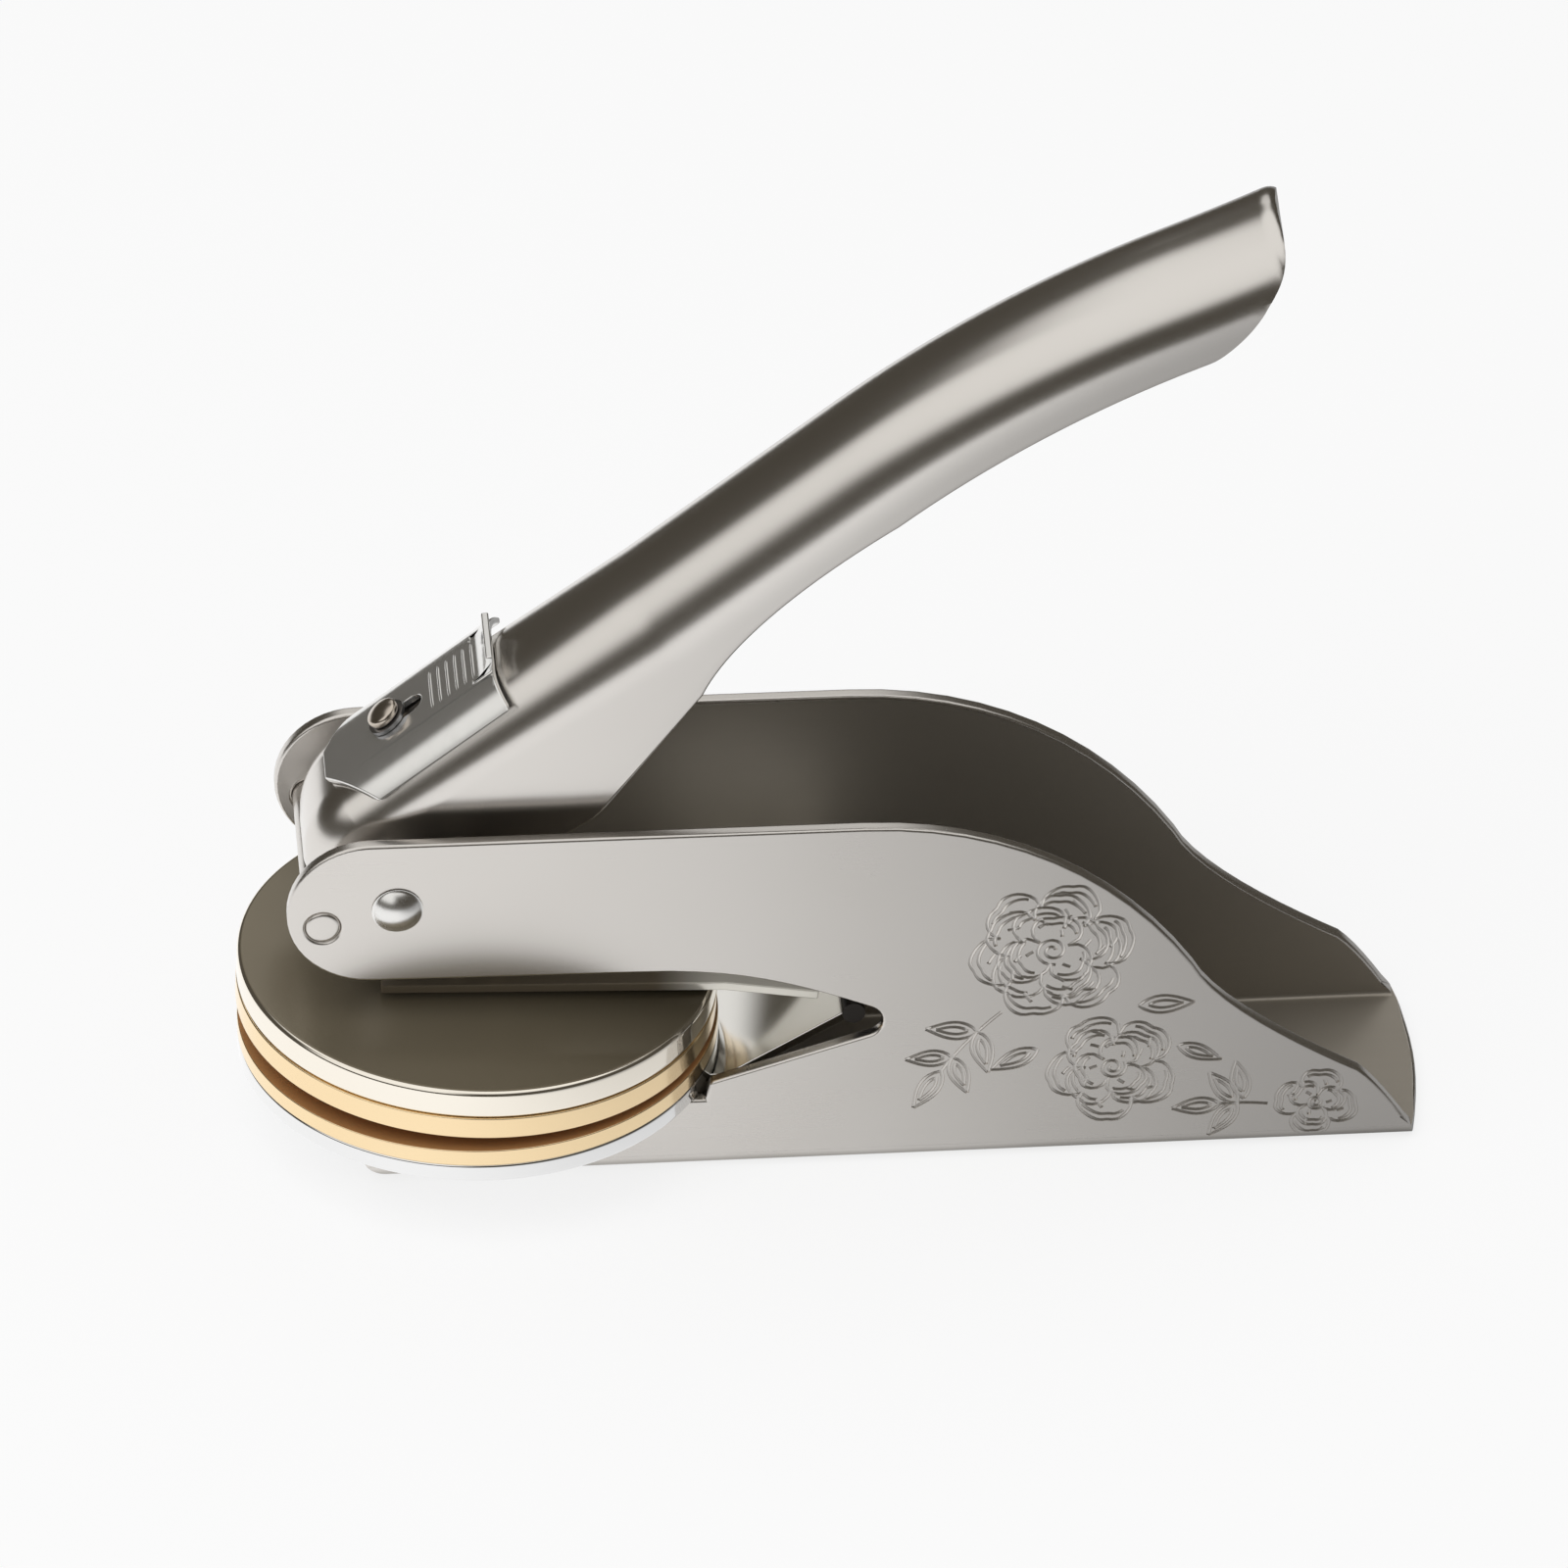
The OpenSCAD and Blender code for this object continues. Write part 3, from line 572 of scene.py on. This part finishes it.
def front_stations():
    """Stations of the folded-down front, from its lower edge round to the straight part."""
    turn = 90 - LEVER_SLOPE
    out = 90 + turn
    centre = Vector((FRONT_S, CREST_H - FRONT_R))
    drop = polar(out + 90, FRONT_DROP)
    stations = [(centre + polar(out, FRONT_R) + drop, -polar(out),
                 centre + polar(out, FRONT_R - FRONT_CROWN_R - FRONT_LIP) + drop, FRONT_CROWN_R)]
    for i in range(FOLD_STEPS + 1):
        a = out - turn * i / FOLD_STEPS
        lower = polar(BOSS_START + BOSS_SWEEP * i / FOLD_STEPS, BOSS_R)
        stations.append((centre + polar(a, FRONT_R), -polar(a), lower, FRONT_CROWN_R))
    return stations


def straight_stations():
    """Stations of the straight part, whose lower edge goes round the heel and up to the skirt."""
    after_heel = 0.15       # share of the way from the heel to the skirt
    edge = straight(polar(BOSS_START + BOSS_SWEEP, BOSS_R), HEEL, 8)[:-1]
    edge += rounded([edge[-1], HEEL, HEEL + after_heel * (SKIRT_START - HEEL)], HEEL_R)[1:]
    edge += straight(edge[-1], SKIRT_START, 10)
    skirt_end = Vector((GRIP_START, CREST_H - SKIRT_D))
    edge += bezier(SKIRT_START, SKIRT_LEAVE, SKIRT_ARRIVE, skirt_end, 24)
    return [(Vector((e.x, CREST_H)), Vector((0, -1)), e, crown_at(e.x)) for e in edge]


def grip_stations():
    """Stations of the curved grip, out to its flared and rolled tip and a little past it."""
    tip_start = GRIP_TURN - TIP_TURN
    turns = [(tip_start * i / GRIP_STEPS, 0) for i in range(1, GRIP_STEPS + 1)]
    flared = [i / FLARE_STEPS for i in range(1, FLARE_STEPS - 1)]
    curled = [CURL_START + (1 - CURL_START) * u for u in CURL_STEPS]
    turns += [(tip_start + TIP_TURN * t, tip_lift(t)) for t in flared + curled + [PAST_TIP]]
    return [(grip_point(turn, -lift), -grip_out(turn), grip_point(turn, SKIRT_D), CROWN_R)
            for turn, lift in turns]


def tip_cutter():
    """What lies past the grip's rounded end, seen from the side."""
    start = GRIP_TURN - TIP_TURN
    near, far = GRIP_TURN - 1.0, GRIP_TURN + 6      # the cutter's ends over the crest
    over, under = -4, SKIRT_D + 5       # depths that clear the shell above and below
    half_width = 15
    foot = SKIRT_D + 0.01               # a little past the lower edge, so that the cut goes through it
    steps = 32
    outline = [grip_point(near, over)]
    for i in range(steps + 1):
        depth = (foot + TIP_FLARE) * math.sin(math.pi / 2 * i / steps) - TIP_FLARE
        left = max(0.0, 1 - (max(depth, 0) / foot) ** TIP_FULLNESS)
        bulge = math.sin(math.pi * min(1, max(0, depth + TIP_FLARE) / TIP_BULGE_H))
        turn = start + TIP_REACH * TIP_TURN * left ** (1 / TIP_FULLNESS) + TIP_BULGE * TIP_TURN * bulge
        outline.append(grip_point(turn, depth))
    outline += [grip_point(start, under), grip_point(far, under), grip_point(far, over)]
    count = len(outline)
    vertices = [(p.x, y, p.y) for y in (-half_width, half_width) for p in outline]
    faces = [tuple(range(count)), tuple(range(2 * count - 1, count - 1, -1))]
    faces += [(k, (k + 1) % count, count + (k + 1) % count, count + k) for k in range(count)]
    return new_piece("cutter", vertices, faces, lever_place())


def section(station, inset):
    """Half of the lever's section, from the lower edge up to the crest, as (point, distance aside)."""
    crest, inward, lower, r = station
    flat_steps, crown_steps = 3, 12
    start = crest + r * inward
    half = [(lower + (start - lower) * k / flat_steps, LEVER_W / 2 - inset) for k in range(flat_steps)]
    for k in range(crown_steps + 1):
        a = math.pi / 2 * k / crown_steps
        half.append((crest + (r - (r - inset) * math.sin(a)) * inward,
                     LEVER_W / 2 - r + (r - inset) * math.cos(a)))
    return half + [(crest + inset * inward, 0)]


def lever_shell():
    """The lever's sheet: outer and inner sections, lofted through all stations and closed at both ends.
    A station is (crest point, direction into the channel, lower-edge point, crown radius)."""
    vertices, faces, rings = [], [], []
    for station in front_stations() + straight_stations() + grip_stations():
        ring = []
        for inset, side in ((0, -1), (LEVER_T, 1)):
            half = section(station, inset)
            ring += [(p.x, side * aside, p.y) for p, aside in half]
            ring += [(p.x, -side * aside, p.y) for p, aside in half[-2::-1]]
        rings.append([len(vertices) + k for k in range(len(ring))])
        vertices += ring
    count = len(rings[0])
    for low, high in zip(rings, rings[1:]):
        faces += [(low[k], high[k], high[(k + 1) % count], low[(k + 1) % count]) for k in range(count)]
    for end in (rings[0], rings[-1]):
        faces += [(end[k], end[k + 1], end[count - 2 - k], end[count - 1 - k]) for k in range(count // 2 - 1)]
    return new_piece("lever_shell", vertices, faces, lever_place())


def cross_cutter(node, radius):
    """A round cutter across the object, at the middle of a node."""
    low, high = size(node)
    reach = 20
    profile = [(0, -reach), (radius, -reach), (radius, reach), (0, reach)]
    return turned("cutter", profile, (low + high) / 2, (0, 1, 0), steps=48)


def make_lever():
    """The shell, with its edges rounded, its bores and slot cut and its tip cut round."""
    start, end = POST_SLOT
    under, over = CREST_H - 4, CREST_H + 2      # heights that clear the sheet below and above
    shell = soften(lever_shell(), LEVER_EDGE)
    slot = block((start, -POST_SLOT_W / 2, under), (end, POST_SLOT_W / 2, over), lever_place())
    bores = cross_cutter("pivot_rivet", PIVOT_BORE_R), cross_cutter("cam_rivet", CAM_BORE_R)
    carve(shell, *bores, slot, tip_cutter())
    hand_over(shade(shell), "satin_nickel_lever", "lever")


# ---- Frame, with its engraved near wall ----

def petal_edge(centre, inner, outer, start, span, phase, folded):
    """One petal's outer edge, or the fold inside it: an arch with a wavy rim and a nick past its middle."""
    first, last, drawn_in = (0.16, 0.80, 0.30) if folded else (0.0, 1.02, 0.0)
    ripple, ripple_rate = 0.05, 9.0
    nick, nick_at, nick_w = 0.10, 0.58, 0.08
    steps = 16
    edge = []
    for i in range(steps + 1):
        t = first + (last - first) * i / steps
        swell = math.sin(math.pi * min(t, 1.0)) ** 0.5
        wave = ripple * math.sin(ripple_rate * t + phase) - nick * math.exp(-((t - nick_at) / nick_w) ** 2)
        reach = (1 - drawn_in) * (swell + wave * (0 < t < 1))
        edge.append(centre + polar(start + span * t, inner + (outer - inner) * reach))
    return edge


def rose(centre, radius, turn, rings):
    """Strokes of a plain open rose: a coiled heart in rings of overlapping petals with folded edges."""
    coil_turn, ring_turn = 620, 47      # degrees that the heart coils round, and from ring to ring
    spread = 0.62                       # share of the radius over which the rings are spread
    phase_step = 1.7                    # from one petal's ripple to the next one's
    rib_at, rib_turn = 0.34, 5          # share of a petal's span, and degrees from point to point
    coil = [i / 30 for i in range(31)]
    strokes = [[centre + polar(turn + coil_turn * t, radius * (0.04 + 0.17 * t)) for t in coil]]
    for ring in range(rings):
        petals = 3 + ring
        inner = radius * (0.20 + spread * ring / rings)
        outer = radius * (0.38 + spread * (ring + 1) / rings)
        span = 360 / petals
        for k in range(petals):
            start = turn + ring_turn * ring + span * k
            for folded in (False, True):
                strokes.append(petal_edge(centre, inner, outer, start, span, phase_step * k + ring, folded))
            rib = start + rib_at * span
            strokes.append([centre + polar(rib + rib_turn * j, inner + (outer - inner) * (0.10 + 0.14 * j))
                            for j in range(3)])
    return strokes


def leaf(base, heading, length, width):
    """Strokes of a pointed leaf: its outline, and a slim oval round its middle vein."""
    along, aside = polar(heading), polar(heading + 90)
    steps = 10
    strokes = []
    for first, last, wide in ((0.0, 1.0, 1.0), (0.18, 0.80, 0.42)):
        for side in (-1, 1):
            strokes.append([base + along * length * (first + (last - first) * i / steps)
                            + aside * side * wide * width / 2 * math.sin(math.pi * (i / steps) ** 0.8)
                            for i in range(steps + 1)])
    return strokes


def spray(base, heading, bend, leaves, length, reach):
    """Strokes of a curved stem with leaves in pairs and one at its tip."""
    slimness, spread = 0.40, 54
    stem = [base]
    steps = 14
    for i in range(steps):
        stem.append(stem[-1] + polar(heading + bend * i / steps, reach / steps))
    strokes = [stem]
    for k in range(leaves):
        i = round((k + 1) * steps / (leaves + 0.6))
        way = heading + bend * i / steps
        grown = length * (1 - 0.1 * k)
        for side in (-1, 1):
            strokes += leaf(stem[min(i, steps)], way + spread * side, grown, slimness * grown)
    return strokes + leaf(stem[-1], heading + bend, length, slimness * length)


def engraving_strokes():
    """The whole design in X and Z on the near wall: three roses, with leaves between them."""
    strokes = rose(Vector((58.9, 26.2)), 8.6, 20, 4)
    strokes += rose(Vector((65.2, 10.9)), 6.9, 130, 3)
    strokes += rose(Vector((86.4, 5.3)), 4.4, 75, 2)
    strokes += spray(Vector((53.6, 18.6)), 222, 16, 2, 5.4, 9.6)
    strokes += spray(Vector((81.4, 5.4)), 172, 12, 1, 5.0, 5.0)
    for base, heading, length, width in (((67.9, 18.7), 2, 5.8, 2.2), ((78.9, 6.2), 100, 5.0, 1.9),
                                         ((57.4, 13.6), 206, 5.4, 2.1), ((72.0, 13.4), -24, 5.0, 1.8)):
        strokes += leaf(Vector(base), heading, length, width)
    return strokes


def graver_tree():
    """Turns strokes into round-tipped tool paths."""
    tree, net, given = new_tree("graver_path", tip_radius="Float", finish="Material")
    tip = net.add("GeometryNodeCurvePrimitiveCircle", {"mode": "RADIUS"},
                  {"Resolution": 8, "Radius": given["tip_radius"]})["Curve"]
    path = net.add("GeometryNodeCurveToMesh", {}, {"Curve": given["Geometry"], "Profile Curve": tip,
                                                   "Fill Caps": True})["Mesh"]
    end_tree(net, path, given["finish"])
    return tree


def graver_paths():
    """The design as round-tipped tool paths along the near wall, to carve it with."""
    y = WALL_Y - LINE_LIFT
    paths = [[(p.x, y, p.y) for p in stroke] for stroke in engraving_strokes()]
    return grow(path_object("graver_paths", paths), graver_tree(), tip_radius=LINE_R * MM,
                finish=FINISHES["satin_nickel"])


def weigh_edges(piece, sharp=35):
    """Gives a bevel weight to each sharp edge, but for the short ones at the floor's front corners."""
    shape = bmesh.new()
    shape.from_mesh(piece.data)
    weight = shape.edges.layers.float.new("bevel_weight_edge")
    close = 1                       # the corners' edges come this close to the floor's front edge
    beside = -WALL_Y - 2.5          # and lie farther aside than this
    for edge in shape.edges:
        at_corner = any(abs(v.co.x / MM - FLOOR_END) < close and v.co.z / MM < FLOOR_TOP
                        and abs(v.co.y / MM) > beside for v in edge.verts)
        if len(edge.link_faces) == 2 and edge.calc_face_angle() > math.radians(sharp) and not at_corner:
            edge[weight] = 1.0
    shape.to_mesh(piece.data)
    shape.free()


def faces_inward(face):
    """Whether a face of the frame looks into its channel, off a wall or off the floor."""
    inside = -WALL_Y - WALL_T + 0.02        # just past the walls' inner faces
    middle = face.center / MM
    upright, underneath = abs(face.normal.y) > 0.9, face.normal.z <= -0.5
    to_middle = middle.y * face.normal.y <= 0.001
    return abs(middle.y) < inside and (upright or middle.z < FLOOR_TOP) and to_middle and not underneath


def make_frame():
    channel = merged_copy("channel_frame", "frame")
    weigh_edges(channel)
    carve(soften(channel, FRAME_EDGE, angle=None), graver_paths())
    hand_over(shade(channel), "satin_nickel", "frame")
    # The inward faces take a darker copy of the nickel: painted shade inside the channel.
    second_finish(channel, "inner_nickel_painted_shade", faces_inward)


# ---- Pins and rivets ----

def make_pivot_rivet():
    """A shaft with two domed heads. Each has a low upright rim, and stands just off its wall."""
    low, high = size("pivot_rivet")
    head_r = (high.x - low.x) / 2
    face = -WALL_Y
    rise = high.y - face
    ball_r = (head_r ** 2 + rise ** 2) / (2 * rise)
    dome_end = math.degrees(math.asin(head_r / ball_r))
    rim_h, rim_in, off_wall, shaft_r = 0.16, 0.3, 0.02, 2.0
    steps = 14
    half = [(0.0, high.y)]
    for i in range(1, steps + 1):
        a = math.radians(dome_end * i / steps)
        half.append((ball_r * math.sin(a), max(face + rise - ball_r + ball_r * math.cos(a), face + rim_h)))
    half += [(head_r - rim_in, face + off_wall), (shaft_r, face)]
    profile = [(r, -h) for r, h in half] + [(r, h) for r, h in reversed(half)]
    middle = (low + high) / 2
    rivet = turned("pivot_rivet_bright", profile, (middle.x, 0, middle.z), (0, 1, 0), steps=96)
    hand_over(shade(rivet, 50), "rivet_chrome", "pivot_rivet")


def make_stop_pin():
    """A plain pin with rounded ends."""
    low, high = size("stop_pin")
    middle = (low + high) / 2
    radius, end, edge = (high.x - low.x) / 2, high.y, 0.5
    outline = [(0, -end), (radius, -end), (radius, end), (0, end)]
    pin = turned("stop_pin_round", rounded(outline, edge), (middle.x, 0, middle.z), (0, 1, 0), steps=96)
    hand_over(shade(pin), "satin_nickel", "stop_pin")


# ---- Die stack ----

def hung_open():
    """From the closed upper die to its place at rest."""
    turn = Matrix.Rotation(math.radians(DIE_OPEN), 4, "Y")
    return Matrix.Translation(CLIP_PIN) @ turn @ Matrix.Translation(-CLIP_PIN)


def make_disc(node, finish, bottom, thick, edge, place=Matrix.Identity(4)):
    """A round plate with softly rounded rims."""
    outline = [(0, bottom), (DIE_R, bottom), (DIE_R, bottom + thick), (0, bottom + thick)]
    disc = turned(node + "_round", rounded(outline, edge), steps=256)
    disc.data.transform(Matrix.Translation(place.translation * MM) @ place.to_3x3().to_4x4())
    return hand_over(shade(disc), finish, node)


def make_die_stack():
    """Both dies and their plates. The dies' facing faces are a brown copy of the brass, painted shade in the gap,
    and the upper plate's top is a dark copy of its nickel, a painted dark reflection and shade.
    """
    plate_edge, die_edge, top_edge = 0.45, 0.15, 0.7
    level = 0.97            # a face's normal comes this close to upright
    lower_die_z = LOWER_PLATE_Z + LOWER_PLATE_T
    upper_die_z = lower_die_z + LOWER_DIE_T + PAPER_GAP
    upper_plate_z = upper_die_z + UPPER_DIE_T
    make_disc("lower_plate", "bright_chrome", LOWER_PLATE_Z, LOWER_PLATE_T, plate_edge)
    lower = make_disc("lower_die", "polished_brass", lower_die_z, LOWER_DIE_T, die_edge)
    upper = make_disc("upper_die", "polished_brass", upper_die_z, UPPER_DIE_T, die_edge,
                      hung_open())
    plate = make_disc("upper_plate", "polished_nickel", upper_plate_z, UPPER_PLATE_T,
                      top_edge, hung_open())
    # Painted shade on the die faces that face each other across the gap.
    second_finish(lower, "brass_painted_gap_shade", lambda face: face.normal.z > level)
    second_finish(upper, "brass_painted_gap_shade", lambda face: face.normal.z < -level)
    # Painted dark reflection and shade on the upper plate's top.
    second_finish(plate, "plate_top_painted_shade_and_reflection", lambda face: face.normal.z > level)


# ---- Leaves, lock and inner pieces ----

SOFTENED = {
    # node: finish, record slot, edge radius
    "upper_leaf": ("leaf_steel_painted_light", "satin_nickel", 0.15),
    "upper_collar": ("leaf_steel_painted_light", "satin_nickel", 0.1),
    "upper_stem": ("polished_nickel", "bright_chrome", 0.3),
    "leaf_clip": ("bright_leaf", "satin_nickel", 0.15),
    "lock_plate": ("rubbed_chrome", "bright_chrome", 0.2),
    "lock_stud": ("rubbed_stud", "bright_chrome", 0.2),
}

PLAIN = {
    # finish: the CAD nodes that keep their shape
    "satin_nickel": ["lower_stem"],
    "bright_chrome": ["pivot_washers", "cam_rivet", "lock_posts", "upper_die_screws", "lower_die_screws"],
    "black_steel": ["clip_pin"],
    "spring_steel": ["press_cam", "return_spring", "lock_washer", "lock_foot", "stem_circlip"],
}


def make_small_pieces():
    for node, (finish, slot, edge) in SOFTENED.items():
        hand_over(shade(soften(merged_copy(node + "_soft", node), edge)), finish, node)
    for finish, nodes in PLAIN.items():
        for node in nodes:
            mesh = frame["nodes"][node].data
            mesh.materials.clear()
            mesh.materials.append(FINISHES[finish])


def rib_tree():
    """Repeats one rib's path along a step."""
    tree, net, given = new_tree("rib_row", count="Int", step="Vector", rib_radius="Float", finish="Material")
    places = net.add("GeometryNodeMeshLine", {"mode": "OFFSET"},
                     {"Count": given["count"], "Offset": given["step"]})["Mesh"]
    bar = net.add("GeometryNodeCurvePrimitiveCircle", {"mode": "RADIUS"},
                  {"Resolution": 12, "Radius": given["rib_radius"]})["Curve"]
    rib = net.add("GeometryNodeCurveToMesh", {}, {"Curve": given["Geometry"], "Profile Curve": bar,
                                                  "Fill Caps": True})["Mesh"]
    row = net.add("GeometryNodeInstanceOnPoints", {}, {"Points": places, "Instance": rib})["Instances"]
    end_tree(net, row, given["finish"])
    return tree


def make_lock_ribs():
    """Low grip ribs across the lock plate, between its stud and its thumb tab."""
    across = [-y for y in reversed(RIB_STOPS)] + [0] + list(RIB_STOPS)
    path = []
    for y in across:
        drop = RIB_SUNK + PLATE_CROWN * max(0, abs(y) - PLATE_FLAT) ** 2
        path.append(lever_place() @ Vector((RIB_START, y, LOCK_TOP - drop)))
    step = lever_place().to_3x3() @ Vector((RIB_PITCH * MM, 0, 0))
    ribs = grow(path_object("lock_ribs", [path]), rib_tree(), count=RIB_COUNT, step=tuple(step),
                rib_radius=RIB_R * MM, finish=FINISHES["rubbed_chrome"])
    ribs = shade(ribs, 60)
    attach(ribs, BODY_OF["lock_plate"])


# ---- Studio ----

CAMERA_TURN = -4
CAMERA_RISE = 36
CAMERA_AWAY = 3000
LOOK_AT = Vector((33.1, 16.8, 27.6))
PIXELS_PER_MM = 9.8
PHOTO_PIXELS = 1600
SENSOR = 36

LAMP_AT = (-220, -300, 750)
LAMP_AIM = (40, 0, 20)
LAMP_SIZE = 550
LAMP_WATTS = 2.2
ROOM_LIGHT = 0.62               # the white room's strength as a light; as a background it is 1
TABLE_R = 440
TABLE_T = 2
DOME_R = 1500
DOME_DARK = (0.078, 0.070, 0.057, 1)
DOME_BRIGHT = (0.98, 0.97, 0.95, 1)
SOFTBOX_WAY = (-0.60, -0.55, 0.58)
BACK_CARD_WAY = (0.0, 0.81, 0.59)       # a white card behind the object, which level faces mirror
BACK_CARD_LEVEL = 0.8

# A light's rim goes by how near a direction comes to the light's own, and its foot by the direction's
# height. Below the first number the dome is dark, and above the second it is bright.
SOFTBOX_RIM = (0.78, 0.92)
SOFTBOX_FOOT = (0.26, 0.44)
CEILING_FOOT = (0.68, 0.84)
BACK_CARD_RIM = (0.95, 0.985)


def make_camera():
    turn, rise = math.radians(CAMERA_TURN), math.radians(CAMERA_RISE)
    back = Vector((math.sin(turn) * math.cos(rise), -math.cos(turn) * math.cos(rise), math.sin(rise)))
    data = bpy.data.cameras.new("camera")
    data.sensor_width = SENSOR
    data.lens = PIXELS_PER_MM * CAMERA_AWAY * SENSOR / PHOTO_PIXELS
    data.clip_start, data.clip_end = 0.01, 20       # metres
    camera = put("camera", data)
    camera.location = (LOOK_AT + CAMERA_AWAY * back) * MM
    camera.rotation_euler = (-back).to_track_quat("-Z", "Y").to_euler()
    bpy.context.scene.camera = camera


def seen_directly(net):
    """1 for what the camera sees straight, in a mirror or through glass."""
    path = net.add("ShaderNodeLightPath")
    return net.add("ShaderNodeMath", {"operation": "ADD", "use_clamp": True},
                   {0: path["Is Camera Ray"] + path["Is Glossy Ray"], 1: path["Is Transmission Ray"]})[0]


def make_world():
    """A white room, dimmer as a light than as a background."""
    world = bpy.data.worlds.new("studio")
    world.use_nodes = True
    world.node_tree.nodes.clear()
    net = Net(world.node_tree)
    strength = ROOM_LIGHT + (1 - ROOM_LIGHT) * seen_directly(net)
    back = net.add("ShaderNodeBackground", {}, {"Color": (1, 1, 1, 1), "Strength": strength})["Background"]
    net.add("ShaderNodeOutputWorld", {}, {"Surface": back})
    bpy.context.scene.world = world


def make_floor():
    """A pale round table top, which keeps a faint shadow. In reflections it is brighter than white by
    gain, and dims along X, by dim_most in all."""
    white_share = 0.8
    dim_from, dim_to, dim_most, gain = -20, 110, 0.8, 0.12
    material, net = new_material("pale_table")
    cloth = net.add("ShaderNodeBsdfDiffuse", {}, {"Color": (0.93, 0.93, 0.93, 1)})["BSDF"]
    axes = net.add("ShaderNodeSeparateXYZ", {}, {0: net.object_place()})
    dimming = dim_most * net.rise(axes["X"], dim_from * MM, dim_to * MM)
    mirrored = net.add("ShaderNodeLightPath")["Is Glossy Ray"]
    glow = net.add("ShaderNodeEmission", {}, {"Color": (1, 1, 1, 1),
                                              "Strength": 1.0 - mirrored * (dimming - gain)})["Emission"]
    both = net.add("ShaderNodeMixShader", {}, {0: white_share * seen_directly(net), 1: cloth, 2: glow})[0]
    net.add("ShaderNodeOutputMaterial", {}, {"Surface": both})
    top = -0.02             # just under the object, so that no faces coincide
    floor = turned("table_top", [(0, -TABLE_T), (TABLE_R, -TABLE_T), (TABLE_R, top), (0, top)])
    floor.data.materials.append(material)


def make_dome():
    """The dark room round a softbox, a lit ceiling and a white card, which only reflections see."""
    material, net = new_material("studio_dome")
    way = net.add("ShaderNodeVectorMath", {"operation": "NORMALIZE"}, {0: net.object_place()})[0]
    height = net.add("ShaderNodeSeparateXYZ", {}, {0: way})["Z"]
    softbox = net.rise(net.along(way, SOFTBOX_WAY), *SOFTBOX_RIM) * net.rise(height, *SOFTBOX_FOOT)
    ceiling = net.rise(height, *CEILING_FOOT)
    card = BACK_CARD_LEVEL * net.rise(net.along(way, BACK_CARD_WAY), *BACK_CARD_RIM)
    colour = net.blend(net.larger(net.larger(softbox, ceiling), card), DOME_DARK, DOME_BRIGHT)
    glow = net.add("ShaderNodeEmission", {}, {"Color": colour, "Strength": 1.0})["Emission"]
    net.add("ShaderNodeOutputMaterial", {}, {"Surface": glow})
    profile = [(DOME_R * math.sin(math.radians(a)), -DOME_R * math.cos(math.radians(a)))
               for a in range(0, 181, 5)]
    dome = turned("studio_dome", profile, steps=72)
    dome.data.flip_normals()
    dome.data.materials.append(material)
    dome.visible_camera = False
    dome.visible_diffuse = False
    dome.visible_shadow = False
    dome.visible_transmission = False


def make_lamp():
    data = bpy.data.lights.new("softbox", "AREA")
    data.shape = "SQUARE"
    data.size = LAMP_SIZE * MM
    data.energy = LAMP_WATTS
    lamp = put("softbox", data)
    lamp.location = [c * MM for c in LAMP_AT]
    away = lamp.location - Vector([c * MM for c in LAMP_AIM])
    lamp.rotation_euler = away.to_track_quat("Z", "Y").to_euler()
    lamp.visible_glossy = False


make_camera()
make_world()
make_lamp()
make_floor()
make_dome()
make_lever()
make_frame()
make_pivot_rivet()
make_stop_pin()
make_die_stack()
make_small_pieces()
make_lock_ribs()

bpy.context.scene.view_settings.view_transform = "Standard"
